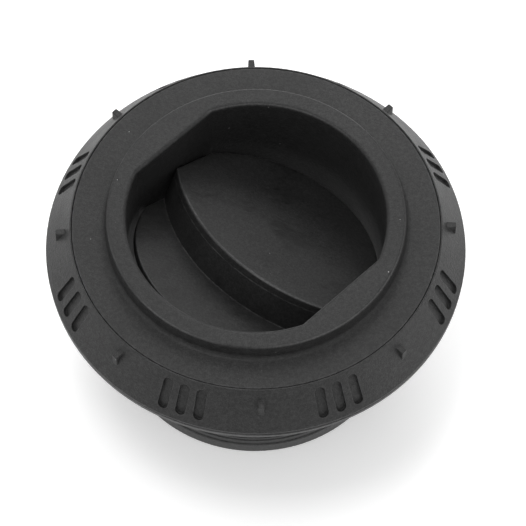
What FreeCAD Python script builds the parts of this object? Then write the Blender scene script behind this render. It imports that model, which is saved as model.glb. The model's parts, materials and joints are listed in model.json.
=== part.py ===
import FreeCAD, Part
import os
import re

import Sketcher

# Round cable grommet for a desk top: a liner drops through the hole, a conical skirt ring with eight
# grip fins covers the hole's edge, and a turntable with a raised collar turns in the ring.  A flap
# tilts on two pins between the flats of the turntable's well.
#
# Frame: millimetres, +Z up, the desk's top face is z = 0 and the hole's axis is the Z axis.
# The turntable and the flap are drawn with the flats facing +Y and -Y, and are then turned
# to flap_heading about Z.  The flap is drawn level, with its pivot axis along Y at the origin.

SIZES = {
    # the hole in the desk and the liner that drops into it
    "desk_hole_radius": 30.0,
    "hole_clearance": 0.2,
    "liner_depth": 32.0,
    "liner_wall": 2.8,
    "locating_length": 6.0,
    "root_relief": 0.4,
    "rib_crest_inset": 0.3,
    "rib_depth": 0.6,
    "rib_pitch": 1.25,
    "end_ring_height": 3.2,
    "end_ring_lip": 1.0,
    "end_ring_wall": 1.6,
    # the flange, from the desk's face up
    "flange_overlap": 13.0,
    "base_inset": 0.1,
    "gasket_thickness": 1.0,
    "gasket_inset": 2.4,
    "gasket_hole_gap": 0.6,
    "base_thickness": 1.2,
    "base_round": 0.3,
    "shadow_gap": 0.5,
    "skirt_land": 0.5,
    "skirt_rise": 8.43,
    "skirt_wall": 1.6,
    "cone_run": 5.25,
    "top_land": 0.25,
    "rim_round": 0.25,
    "ledge_thickness": 1.6,
    # grip fins and flutes on the cone
    "grip_count": 8,
    "fin_inset": 2.25,
    "fin_top_drop": 1.8,
    "fin_tip_width": 1.25,
    "fin_root_width": 1.5,
    "fin_sunk": 0.15,
    "fin_round": 0.2,
    "flute_width": 2.1,
    "flute_length": 7.2,
    "flute_depth": 0.7,
    "flute_spacing_angle": 5.2,
    # screws that hold the ring to the liner
    "screw_count": 4,
    "screw_radius": 1.1,
    "screw_head_radius": 1.9,
    "screw_head_height": 1.1,
    "screw_length": 6.5,
    "screw_boss_radius": 2.6,
    "screw_boss_gap": 0.53,
    "screw_pad_height": 1.0,
    "screw_pilot_spare": 0.3,
    # the turntable
    "turntable_gap": 0.14,
    "disc_thickness": 1.6,
    "disc_edge_chamfer": 0.06,
    "glide_thickness": 0.43,
    "glide_width": 5.0,
    "collar_land": 3.95,
    "collar_draft": 0.4,
    "collar_height": 3.57,
    "collar_edge_round": 0.5,
    "collar_foot_round": 0.9,
    "well_edge_round": 0.9,
    "well_flat_inset": 2.2,
    "tube_wall": 1.15,
    "tube_depth": 13.0,
    "tube_clearance": 0.2,
    "tube_pocket_step": 0.6,
    "neck_wall": 2.35,
    "neck_clearance": 0.3,
    "clip_thickness": 1.0,
    "clip_groove_depth": 0.9,
    "clip_width": 2.7,
    "brake_thickness": 0.7,
    "brake_width": 2.6,
    # the flap and its pivot
    "flap_heading": 42.6,
    "rest_tilt": 26.7,
    "pivot_offset": 2.4,
    "pivot_drop": 1.6,
    "flap_swing_gap": 1.25,
    "flap_side_gap": 0.35,
    "floor_drop": 3.76,
    "floor_thickness": 2.2,
    "floor_chamfer": 0.8,
    "floor_round": 0.3,
    "cover_gap": 0.09,
    "cover_thickness": 1.8,
    "cover_round": 0.5,
    "step_crown": 14.0,
    "step_at_flat": 4.9,
    "flap_wall": 1.6,
    "pin_radius": 1.5,
    "pin_fit": 0.05,
    "pin_seat": 6.0,
    "pin_boss_wall": 1.5,
    "bush_wall": 0.75,
    "bush_head_rim": 0.7,
    "bush_head_thickness": 0.5,
    "o_ring_section_radius": 0.55,
    "o_ring_fit": 0.02,
    "o_ring_pocket_room": 0.2,
    "stop_width": 2.8,
    "stop_height": 3.7,
    "stop_reach": 2.05,
    "stop_pad_thickness": 0.8,
    "stop_gap": 0.1,
    "post_radius": 2.3,
    "cover_boss_length": 3.0,
    "post_front": 6.0,
    "post_heading": 42.1,
    "post_wall_gap": 1.7,
    "cover_screw_radius": 0.9,
    "cover_screw_head_radius": 1.7,
    "cover_screw_head_height": 0.9,
    "cover_screw_length": 9.5,
    "cover_screw_spare": 0.2,
}

# Heights and radii that follow from the sizes above, as expressions over their names.
BASE_TOP = "(gasket_thickness + base_thickness)"
PAD_TOP = f"({BASE_TOP} + screw_pad_height)"
SKIRT_FOOT = f"({BASE_TOP} + shadow_gap)"
CONE_FOOT = f"({SKIRT_FOOT} + skirt_land)"
TOP = f"({CONE_FOOT} + skirt_rise)"
DISC_FOOT = f"({TOP} - disc_thickness)"
LEDGE_TOP = f"({DISC_FOOT} - glide_thickness)"
LEDGE_FOOT = f"({LEDGE_TOP} - ledge_thickness)"
BRAKE_FOOT = f"({LEDGE_FOOT} - brake_thickness)"
CLIP_FOOT = f"({BRAKE_FOOT} - clip_thickness)"
NECK_FOOT = f"({PAD_TOP} - screw_pad_height / 4)"
COLLAR_TOP = f"({TOP} + collar_height)"
LINER_RADIUS = "(desk_hole_radius - hole_clearance)"
LINER_BORE_RADIUS = f"({LINER_RADIUS} - liner_wall)"
TUBE_POCKET_RADIUS = f"({LINER_BORE_RADIUS} + tube_pocket_step)"
TUBE_RADIUS = f"({TUBE_POCKET_RADIUS} - tube_clearance)"
WELL_RADIUS = f"({TUBE_RADIUS} - tube_wall)"
WELL_FLAT = f"({WELL_RADIUS} - well_flat_inset)"
COLLAR_RADIUS = f"({WELL_RADIUS} + collar_land)"
NECK_RADIUS = f"({WELL_RADIUS} + neck_wall)"
LEDGE_BORE_RADIUS = f"({NECK_RADIUS} + neck_clearance)"
CLIP_BORE_RADIUS = f"({NECK_RADIUS} - clip_groove_depth)"
FLANGE_RADIUS = "(desk_hole_radius + flange_overlap)"
TOP_RADIUS = f"({FLANGE_RADIUS} - cone_run)"
SKIRT_BORE_RADIUS = f"({TOP_RADIUS} - top_land)"
CONE_SLOPE = "(cone_run / skirt_rise)"
SKIRT_WALL_ACROSS = f"(skirt_wall * sqrt(1 + {CONE_SLOPE} ^ 2))"
FIN_RADIUS = f"({FLANGE_RADIUS} - fin_inset)"
DISC_RADIUS = f"({SKIRT_BORE_RADIUS} - turntable_gap)"
END_RING_SEAT_RADIUS = f"({LINER_RADIUS} - end_ring_wall)"
END_RING_FOOT = "(-liner_depth - end_ring_lip)"
BUSH_BORE_RADIUS = "(pin_radius + pin_fit)"
BUSH_RADIUS = f"({BUSH_BORE_RADIUS} + bush_wall)"
BUSH_HEAD_RADIUS = f"({BUSH_RADIUS} + bush_head_rim)"
PIN_BOSS_RADIUS = "(pin_radius + pin_boss_wall)"
O_RING_POCKET_RADIUS = "(pin_radius + 2 * o_ring_section_radius + o_ring_pocket_room)"
FLAP_RADIUS = f"({WELL_RADIUS} - flap_swing_gap)"
FLAP_FLAT = f"({WELL_FLAT} - flap_side_gap)"
FLAP_FOOT = "(-floor_drop - floor_thickness)"
COVER_FOOT = f"({PIN_BOSS_RADIUS} + cover_gap)"
PLATEAU_RISE = f"({COVER_FOOT} + cover_thickness)"
STEP_SAG = "(step_crown - step_at_flat)"
STEP_RADIUS = f"(({FLAP_FLAT} ^ 2 + {STEP_SAG} ^ 2) / (2 * {STEP_SAG}))"
STEP_CENTRE = f"({STEP_RADIUS} - step_crown)"
POST_TOP = f"({COVER_FOOT} - cover_boss_length)"
POST_REACH = f"({FLAP_RADIUS} - flap_wall - post_wall_gap - post_radius)"
POST_BACK = f"({POST_REACH} * cos(post_heading) - pivot_offset)"
POST_SIDE = f"({POST_REACH} * sin(post_heading))"
STOP_FACE = f"(pivot_offset + {FLAP_FOOT} - stop_gap)"
STOP_PAD_TOP = f"({FLAP_FOOT} - stop_gap - pivot_drop)"
STOP_TOP = f"({STOP_PAD_TOP} - stop_pad_thickness)"

ZERO = 1e-6
SAME = 0.01

DOC = FreeCAD.newDocument("desk_grommet")
SHEET = DOC.addObject("Spreadsheet::Sheet", "Sizes")


# ---------------------------------------------------------------- sheet and expressions

def fill_sheet():
    """Put each size in the sheet with its name as alias."""
    for row, (name, size) in enumerate(SIZES.items(), start=1):
        SHEET.set(f"A{row}", name)
        SHEET.set(f"B{row}", str(size))
        SHEET.setAlias(f"B{row}", name)
    DOC.recompute()


def bound(expression):
    """The expression with each size's name pointing into the sheet."""
    def point(match):
        word = match.group(0)
        return f"Sizes.{word}" if word in SIZES else word
    return re.sub(r"[a-z][a-z_]+", point, expression)


def value(expression):
    """The number that an expression over the sheet's names gives."""
    result = SHEET.evalExpression(expression)
    return float(getattr(result, "Value", result))


def cone_radius(height):
    """Expression for the skirt's outer radius at a height."""
    return f"({FLANGE_RADIUS} - (({height}) - {CONE_FOOT}) * {CONE_SLOPE})"


# The ring's screws stand just inside the cone, where the ledge meets it.
CONE_BORE_AT_LEDGE = f"({cone_radius(LEDGE_FOOT)} - {SKIRT_WALL_ACROSS})"
SCREW_CIRCLE_RADIUS = f"({CONE_BORE_AT_LEDGE} - screw_boss_gap - screw_boss_radius)"


# ---------------------------------------------------------------- sketches

def origin_part(body, role):
    """The body's own origin plane or axis of that role."""
    for item in body.Origin.OriginFeatures:
        if item.Role == role:
            return item
    raise ValueError(role)


def new_body(label):
    """An empty body that carries a node's name."""
    body = DOC.addObject("PartDesign::Body", label)
    body.Label = label
    return body


def new_sketch(body, label, plane="XY_Plane", offset=None):
    """A sketch on one of the body's origin planes, moved by a placement expression."""
    sketch = body.newObject("Sketcher::SketchObject", label)
    sketch.AttachmentSupport = [(origin_part(body, plane), "")]
    sketch.MapMode = "FlatFace"
    if offset:
        sketch.setExpression("AttachmentOffset", bound(offset))
    return sketch


def lifted(height):
    """Placement expression for a sketch plane raised along its normal."""
    return f"placement(vector(0; 0; {height}); rotation(0; 0; 0))"


def hold(sketch, kind, edge, end, expression):
    """Hold one coordinate of a sketch point, kind DistanceX or DistanceY, at an expression."""
    size = value(expression)
    if abs(size) < ZERO:
        axis = -2 if kind == "DistanceX" else -1
        sketch.addConstraint(Sketcher.Constraint("PointOnObject", edge, end, axis))
        return
    if size > 0:
        index = sketch.addConstraint(Sketcher.Constraint(kind, -1, 1, edge, end, size))
        sketch.setExpression(f"Constraints[{index}]", bound(expression))
    else:
        index = sketch.addConstraint(Sketcher.Constraint(kind, edge, end, -1, 1, -size))
        sketch.setExpression(f"Constraints[{index}]", bound(f"-({expression})"))


def draw_polygon(sketch, corners):
    """Closed outline of straight edges through corners, each an (x, y) pair of expressions."""
    points = [FreeCAD.Vector(value(x), value(y), 0) for x, y in corners]
    count = len(points)
    first = sketch.GeometryCount
    for index, point in enumerate(points):
        sketch.addGeometry(Part.LineSegment(point, points[(index + 1) % count]), False)
    for index in range(count):
        after = first + (index + 1) % count
        sketch.addConstraint(Sketcher.Constraint("Coincident", first + index, 2, after, 1))
    for index, (x, y) in enumerate(corners):
        hold(sketch, "DistanceX", first + index, 1, x)
        hold(sketch, "DistanceY", first + index, 1, y)


def draw_circle(sketch, radius, x="0", y="0"):
    """Circle of a given radius about (x, y)."""
    centre = FreeCAD.Vector(value(x), value(y), 0)
    circle = Part.Circle(centre, FreeCAD.Vector(0, 0, 1), value(radius))
    edge = sketch.addGeometry(circle, False)
    hold(sketch, "DistanceX", edge, 3, x)
    hold(sketch, "DistanceY", edge, 3, y)
    index = sketch.addConstraint(Sketcher.Constraint("Radius", edge, value(radius)))
    sketch.setExpression(f"Constraints[{index}]", bound(radius))


def draw_arc(sketch, centre_x, radius, start, end):
    """Arc about (centre_x, 0) from point start to point end, counter-clockwise."""
    centre = FreeCAD.Vector(value(centre_x), 0, 0)
    axis = FreeCAD.Vector(0, 0, 1)
    angles = []
    for point in (start, end):
        span = point - centre
        angles.append(FreeCAD.Vector(1, 0, 0).getAngle(span) * (1 if span.y >= 0 else -1))
    circle = Part.Circle(centre, axis, value(radius))
    edge = sketch.addGeometry(Part.ArcOfCircle(circle, angles[0], angles[1]), False)
    hold(sketch, "DistanceX", edge, 3, centre_x)
    hold(sketch, "DistanceY", edge, 3, "0")
    index = sketch.addConstraint(Sketcher.Constraint("Radius", edge, value(radius)))
    sketch.setExpression(f"Constraints[{index}]", bound(radius))
    return edge


def draw_two_flats(sketch, front, back, flat):
    """Outline of two arcs joined by two flats at y = +flat and y = -flat.

    front and back are (centre x, radius, side) triples: side -1 takes the arc's
    left crossing of the flats and +1 the right one.
    """
    def crossing(arc, y):
        centre_x, radius, side = arc
        reach = (value(radius) ** 2 - value(flat) ** 2) ** 0.5
        return FreeCAD.Vector(value(centre_x) + side * reach, y, 0)

    top = value(flat)
    back_low, back_high = crossing(back, -top), crossing(back, top)
    front_low, front_high = crossing(front, -top), crossing(front, top)
    right = draw_arc(sketch, back[0], back[1], back_low, back_high)
    upper = sketch.addGeometry(Part.LineSegment(back_high, front_high), False)
    left = draw_arc(sketch, front[0], front[1], front_high, front_low)
    lower = sketch.addGeometry(Part.LineSegment(front_low, back_low), False)
    for edge, end, other, start in ((right, 2, upper, 1), (upper, 2, left, 1),
                                    (left, 2, lower, 1), (lower, 2, right, 1)):
        sketch.addConstraint(Sketcher.Constraint("Coincident", edge, end, other, start))
    hold(sketch, "DistanceY", upper, 1, flat)
    hold(sketch, "DistanceY", upper, 2, flat)
    hold(sketch, "DistanceY", lower, 1, f"-{flat}")
    hold(sketch, "DistanceY", lower, 2, f"-{flat}")


def draw_slot(sketch, length, width):
    """Slot with round ends about the sketch's origin, its length along x."""
    half = value(f"({length} - {width}) / 2")
    radius = value(f"{width} / 2")
    quarter = FreeCAD.Units.parseQuantity("90 deg").getValueAs("rad").Value
    axis = FreeCAD.Vector(0, 0, 1)
    right_centre = FreeCAD.Vector(half, 0, 0)
    left_centre = FreeCAD.Vector(-half, 0, 0)
    right = sketch.addGeometry(
        Part.ArcOfCircle(Part.Circle(right_centre, axis, radius), -quarter, quarter), False)
    left = sketch.addGeometry(
        Part.ArcOfCircle(Part.Circle(left_centre, axis, radius), quarter, 3 * quarter), False)
    rise = FreeCAD.Vector(0, radius, 0)
    upper = sketch.addGeometry(Part.LineSegment(right_centre + rise, left_centre + rise), False)
    lower = sketch.addGeometry(Part.LineSegment(left_centre - rise, right_centre - rise), False)
    for edge, end, other, start in ((right, 2, upper, 1), (upper, 2, left, 1),
                                    (left, 2, lower, 1), (lower, 2, right, 1)):
        sketch.addConstraint(Sketcher.Constraint("Tangent", edge, end, other, start))
    for edge, side in ((right, ""), (left, "-")):
        hold(sketch, "DistanceX", edge, 3, f"{side}({length} - {width}) / 2")
        hold(sketch, "DistanceY", edge, 3, "0")
    index = sketch.addConstraint(Sketcher.Constraint("Radius", right, radius))
    sketch.setExpression(f"Constraints[{index}]", bound(f"{width} / 2"))


# ---------------------------------------------------------------- features

def volume(body):
    """Volume of the body's shape so far, 0 before its first feature."""
    return body.Shape.Volume if body.Shape and not body.Shape.isNull() else 0.0


def settle(body, feature, grows):
    """Recompute a new feature and make sure that it adds or cuts as it should."""
    before = volume(body)
    body.Tip = feature
    DOC.recompute()
    change = volume(body) - before
    if (change > ZERO) != grows or abs(change) < ZERO:
        raise RuntimeError(f"{feature.Name} of {body.Label} changed the volume by {change:.3f}")
    return feature


def revolve(body, sketch, label, angle="360"):
    """Solid of revolution of a sketch about its vertical axis."""
    feature = body.newObject("PartDesign::Revolution", label)
    feature.Profile = sketch
    feature.ReferenceAxis = (sketch, ["V_Axis"])
    feature.setExpression("Angle", bound(angle))
    return settle(body, feature, True)


def groove(body, sketch, label):
    """Cut of revolution of a sketch about its vertical axis."""
    feature = body.newObject("PartDesign::Groove", label)
    feature.Profile = sketch
    feature.ReferenceAxis = (sketch, ["V_Axis"])
    feature.Angle = 360
    return settle(body, feature, False)


def pad(body, sketch, label, length, both_sides=False):
    """Pad of a sketch by a length along its normal, or half of it each way."""
    feature = body.newObject("PartDesign::Pad", label)
    feature.Profile = sketch
    feature.setExpression("Length", bound(length))
    feature.SideType = "Symmetric" if both_sides else "One side"
    return settle(body, feature, True)


def pocket(body, sketch, label, length=None, both_sides=False, upward=False):
    """Cut of a sketch against its normal, or along it if upward; right through with no length."""
    feature = body.newObject("PartDesign::Pocket", label)
    feature.Profile = sketch
    if length:
        feature.setExpression("Length", bound(length))
    else:
        feature.Type = "ThroughAll"
    feature.SideType = "Symmetric" if both_sides else "One side"
    feature.Reversed = upward
    return settle(body, feature, False)


def repeat_round(body, feature, label, count, grows):
    """Polar pattern of one feature about the body's Z axis."""
    pattern = body.newObject("PartDesign::PolarPattern", label)
    pattern.Originals = [feature]
    pattern.Axis = (origin_part(body, "Z_Axis"), [""])
    pattern.Angle = 360
    pattern.setExpression("Occurrences", bound(count))
    return settle(body, pattern, grows)


def edges_where(feature, wanted):
    """Names of the feature's edges for which wanted(edge) holds."""
    return [f"Edge{number}" for number, edge in enumerate(feature.Shape.Edges, start=1)
            if wanted(edge)]


def dress(body, kind, label, wanted, size):
    """Fillet or Chamfer of the edges for which wanted(edge) holds."""
    names = edges_where(body.Tip, wanted)
    if not names:
        raise RuntimeError(f"{label} of {body.Label} finds no edge")
    base = body.Tip
    feature = body.newObject(f"PartDesign::{kind}", label)
    feature.Base = (base, names)
    feature.setExpression("Radius" if kind == "Fillet" else "Size", bound(size))
    body.Tip = feature
    DOC.recompute()
    return feature


def circle_at(radius, height):
    """Edge test: a circle about the Z axis of that radius at that height."""
    want_radius = value(radius)
    want_height = value(height)

    def test(edge):
        curve = edge.Curve
        return (isinstance(curve, Part.Circle)
                and abs(curve.Radius - want_radius) < SAME
                and abs(curve.Center.z - want_height) < SAME
                and abs(curve.Axis.z) > 0.99)
    return test


def flat_edge_at(height):
    """Edge test: every point of the edge lies at that height."""
    want = value(height)

    def test(edge):
        box = edge.BoundBox
        return abs(box.ZMin - want) < SAME and abs(box.ZMax - want) < SAME
    return test


def ring_body(label, inner, outer, foot, top, angle="360"):
    """Body of one ring of rectangular section."""
    body = new_body(label)
    sketch = new_sketch(body, f"{label}_profile", "XZ_Plane")
    draw_polygon(sketch, [(inner, foot), (outer, foot), (outer, top), (inner, top)])
    revolve(body, sketch, f"{label}_turned", angle)
    return body


def place(thing, position, turn="rotation(0; 0; 0)"):
    """Bind an object's Placement to a position and a rotation expression."""
    thing.setExpression("Placement", bound(f"placement(vector({position}); {turn})"))


# ---------------------------------------------------------------- fixed pieces

def make_liner_sleeve():
    """Liner: tube with grip ribs, plain locating band and thin base flange with screw pads."""
    body = new_body("liner_sleeve")
    profile = new_sketch(body, "liner_profile", "XZ_Plane")
    pocket_foot = "(-tube_depth - tube_clearance)"
    crest = f"({LINER_RADIUS} - rib_crest_inset)"
    seat_top = "(-liner_depth + end_ring_height - end_ring_lip)"
    base_radius = f"({FLANGE_RADIUS} - base_inset)"
    draw_polygon(profile, [
        (LINER_BORE_RADIUS, "-liner_depth"),
        (END_RING_SEAT_RADIUS, "-liner_depth"),
        (END_RING_SEAT_RADIUS, seat_top),
        (crest, seat_top),
        (crest, "-locating_length"),
        (LINER_RADIUS, "-locating_length"),
        (LINER_RADIUS, "0"),
        (f"({LINER_RADIUS} - root_relief)", "0"),
        (f"({LINER_RADIUS} - root_relief)", "gasket_thickness"),
        (base_radius, "gasket_thickness"),
        (base_radius, BASE_TOP),
        (TUBE_POCKET_RADIUS, BASE_TOP),
        (TUBE_POCKET_RADIUS, pocket_foot),
        (LINER_BORE_RADIUS, pocket_foot),
    ])
    revolve(body, profile, "liner_turned")
    for name, height in (("base_foot_round", "gasket_thickness"), ("base_top_round", BASE_TOP)):
        dress(body, "Fillet", name, circle_at(base_radius, height), "base_round")

    rib_profile = new_sketch(body, "rib_gap_profile", "XZ_Plane")
    mouth = "(-locating_length - rib_pitch * 0.3)"
    draw_polygon(rib_profile, [
        (f"({crest} + rib_depth)", mouth),
        (f"({crest} + rib_depth)", f"({mouth} - rib_pitch * 0.72)"),
        (crest, f"({mouth} - rib_pitch * 0.72)"),
        (f"({crest} - rib_depth)", f"({mouth} - rib_pitch * 0.5)"),
        (f"({crest} - rib_depth)", f"({mouth} - rib_pitch * 0.22)"),
        (crest, mouth),
    ])
    rib_gap = groove(body, rib_profile, "rib_gap")
    rows = body.newObject("PartDesign::LinearPattern", "rib_gaps")
    rows.Originals = [rib_gap]
    rows.Direction = (origin_part(body, "Z_Axis"), [""])
    rows.Reversed = True
    count = f"floor(({seat_top} * -1 - locating_length - rib_pitch * 0.6) / rib_pitch)"
    rows.setExpression("Occurrences", bound(count))
    rows.setExpression("Length", bound(f"rib_pitch * ({count} - 1)"))
    settle(body, rows, False)

    pads = new_sketch(body, "screw_pad_outline", "XY_Plane", lifted(f"({BASE_TOP} - base_thickness / 2)"))
    draw_circle(pads, "screw_boss_radius", SCREW_CIRCLE_RADIUS)
    one_pad = pad(body, pads, "screw_pad", "(screw_pad_height + base_thickness / 2)")
    repeat_round(body, one_pad, "screw_pads", "screw_count", True)

    shank = new_sketch(body, "screw_hole_outline", "XY_Plane")
    draw_circle(shank, "screw_radius", SCREW_CIRCLE_RADIUS)
    hole = pocket(body, shank, "screw_hole", PAD_TOP, upward=True)
    repeat_round(body, hole, "screw_holes", "screw_count", False)
    sink = body.newObject("PartDesign::SubtractiveCone", "screw_sink")
    sink.AttachmentSupport = [(origin_part(body, "XY_Plane"), "")]
    sink.MapMode = "FlatFace"
    sink.setExpression("Radius1", bound("screw_head_radius"))
    sink.setExpression("Radius2", bound("screw_radius"))
    sink.setExpression("Height", bound("screw_head_height"))
    where = f"placement(vector({SCREW_CIRCLE_RADIUS}; 0; gasket_thickness); rotation(0; 0; 0))"
    sink.setExpression("AttachmentOffset", bound(where))
    settle(body, sink, False)
    repeat_round(body, sink, "screw_sinks", "screw_count", False)
    return [body]


def make_end_ring():
    """End ring: closes the ribbed stretch and rounds the liner's lower mouth for the cables."""
    body = new_body("end_ring")
    profile = new_sketch(body, "end_ring_profile", "XZ_Plane")
    draw_polygon(profile, [
        (LINER_BORE_RADIUS, END_RING_FOOT),
        (LINER_RADIUS, END_RING_FOOT),
        (LINER_RADIUS, f"({END_RING_FOOT} + end_ring_height)"),
        (END_RING_SEAT_RADIUS, f"({END_RING_FOOT} + end_ring_height)"),
        (END_RING_SEAT_RADIUS, "-liner_depth"),
        (LINER_BORE_RADIUS, "-liner_depth"),
    ])
    revolve(body, profile, "end_ring_turned")
    dress(body, "Fillet", "mouth_round", circle_at(LINER_BORE_RADIUS, END_RING_FOOT),
          "end_ring_lip * 0.6")
    dress(body, "Fillet", "foot_round", circle_at(LINER_RADIUS, END_RING_FOOT),
          "end_ring_lip * 0.4")
    dress(body, "Chamfer", "top_break",
          circle_at(LINER_RADIUS, f"({END_RING_FOOT} + end_ring_height)"), "end_ring_lip * 0.2")
    return [body]


def make_desk_gasket():
    """Flat rubber gasket between the base flange and the desk."""
    inner = "(desk_hole_radius + gasket_hole_gap)"
    outer = f"({FLANGE_RADIUS} - gasket_inset)"
    return [ring_body("desk_gasket", inner, outer, "0", "gasket_thickness")]


def make_glide_ring():
    """Slippery ring that the turntable's disc rests on."""
    outer = f"({DISC_RADIUS} - turntable_gap)"
    return [ring_body("glide_ring", f"({outer} - glide_width)", outer, LEDGE_TOP, DISC_FOOT)]


def make_skirt_ring():
    """Skirt ring: conical shell with an inner ledge, grip fins, flutes and screw bosses."""
    body = new_body("skirt_ring")
    profile = new_sketch(body, "skirt_profile", "XZ_Plane")
    draw_polygon(profile, [
        (f"({cone_radius(SKIRT_FOOT)} - {SKIRT_WALL_ACROSS})", SKIRT_FOOT),
        (FLANGE_RADIUS, SKIRT_FOOT),
        (FLANGE_RADIUS, CONE_FOOT),
        (TOP_RADIUS, TOP),
        (SKIRT_BORE_RADIUS, TOP),
        (SKIRT_BORE_RADIUS, LEDGE_TOP),
        (LEDGE_BORE_RADIUS, LEDGE_TOP),
        (LEDGE_BORE_RADIUS, LEDGE_FOOT),
        (CONE_BORE_AT_LEDGE, LEDGE_FOOT),
    ])
    revolve(body, profile, "skirt_turned")

    dress(body, "Fillet", "rim_rounds", circle_at(FLANGE_RADIUS, CONE_FOOT), "rim_round")
    dress(body, "Fillet", "foot_rounds", circle_at(FLANGE_RADIUS, SKIRT_FOOT), "skirt_land * 0.3")
    dress(body, "Fillet", "top_rounds", circle_at(TOP_RADIUS, TOP), "top_land * 0.4")

    fin_top = f"({TOP} - fin_top_drop)"
    fin_foot = f"({CONE_FOOT} + fin_inset / {CONE_SLOPE} - fin_sunk)"
    fin_root = f"({cone_radius(fin_top)} - fin_sunk)"
    fin_plan = new_sketch(body, "fin_outline", "XY_Plane", lifted(fin_foot))
    draw_polygon(fin_plan, [
        (fin_root, "-fin_root_width / 2"),
        (FIN_RADIUS, "-fin_tip_width / 2"),
        (FIN_RADIUS, "fin_tip_width / 2"),
        (fin_root, "fin_root_width / 2"),
    ])
    fin = pad(body, fin_plan, "fin", f"({fin_top} - {fin_foot})")
    repeat_round(body, fin, "fins", "grip_count", True)

    def fin_edge(edge):
        box = edge.BoundBox
        reach = max((vertex.X ** 2 + vertex.Y ** 2) ** 0.5 for vertex in edge.Vertexes)
        at_top = abs(box.ZMax - value(fin_top)) < SAME
        outside = reach > value(FIN_RADIUS) - SAME
        return isinstance(edge.Curve, Part.Line) and at_top and outside

    dress(body, "Fillet", "fin_rounds", fin_edge, "fin_round")

    lean = f"atan({CONE_SLOPE})"
    middle = f"({CONE_FOOT} + skirt_rise / 2)"
    for number in (-1, 0, 1):
        heading = f"(180 / grip_count + {number} * flute_spacing_angle)"
        label = f"flute_{number + 2}"
        reach = f"{cone_radius(middle)} + skirt_wall * cos({lean})"
        spot = f"vector(({reach}) * cos({heading}); ({reach}) * sin({heading}); " \
               f"{middle} + skirt_wall * sin({lean}))"
        plane = f"placement({spot}; rotation({heading}; 90 deg - {lean}; 0))"
        outline = new_sketch(body, f"{label}_outline", "XY_Plane", plane)
        draw_slot(outline, "flute_length", "flute_width")
        cut = pocket(body, outline, label, "(skirt_wall + flute_depth)")
        repeat_round(body, cut, f"{label}_round", "grip_count", False)

    bosses = new_sketch(body, "boss_outline", "XY_Plane", lifted(PAD_TOP))
    draw_circle(bosses, "screw_boss_radius", SCREW_CIRCLE_RADIUS)
    boss = pad(body, bosses, "boss", f"({LEDGE_FOOT} - {PAD_TOP} + ledge_thickness / 2)")
    repeat_round(body, boss, "bosses", "screw_count", True)
    pilots = new_sketch(body, "pilot_outline", "XY_Plane", lifted(PAD_TOP))
    draw_circle(pilots, "screw_radius", SCREW_CIRCLE_RADIUS)
    depth = f"(gasket_thickness + screw_length - {PAD_TOP} + screw_pilot_spare)"
    pilot = pocket(body, pilots, "pilot", depth, upward=True)
    repeat_round(body, pilot, "pilots", "screw_count", False)
    return [body]


def make_ring_screws():
    """Countersunk screws from below that hold the skirt ring to the liner."""
    screws = []
    for number in range(int(value("screw_count"))):
        body = screw_body(f"ring_screw_{number + 1}", "screw_radius", "screw_head_radius",
                          "screw_head_height", "screw_length")
        heading = f"({number} * 360 / screw_count)"
        where = f"{SCREW_CIRCLE_RADIUS} * cos({heading}); {SCREW_CIRCLE_RADIUS} * sin({heading}); " \
                "gasket_thickness"
        place(body, where, f"rotation({heading}; 0; 0)")
        screws.append(body)
    return screws


def screw_body(label, shank, head, head_height, length):
    """Countersunk screw with its head at z = 0, its tip up and a cross recess in the head."""
    body = new_body(label)
    profile = new_sketch(body, f"{label}_profile", "XZ_Plane")
    draw_polygon(profile, [
        ("0", "0"),
        (head, "0"),
        (shank, head_height),
        (shank, f"({length} - {shank})"),
        (f"({shank} * 0.3)", length),
        ("0", length),
    ])
    revolve(body, profile, f"{label}_turned")
    arm = f"({head} * 0.62)"
    half = f"({head} * 0.14)"
    for turn, (reach_x, reach_y) in enumerate(((arm, half), (half, arm))):
        recess = new_sketch(body, f"{label}_recess_{turn + 1}")
        draw_polygon(recess, [(f"-{reach_x}", f"-{reach_y}"), (reach_x, f"-{reach_y}"),
                              (reach_x, reach_y), (f"-{reach_x}", reach_y)])
        pocket(body, recess, f"{label}_cross_{turn + 1}", f"({head_height} * 0.6)", upward=True)
    return body


# ---------------------------------------------------------------- turntable pieces

FACE_FLATS = "rotation(flap_heading; 0; 0)"


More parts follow.
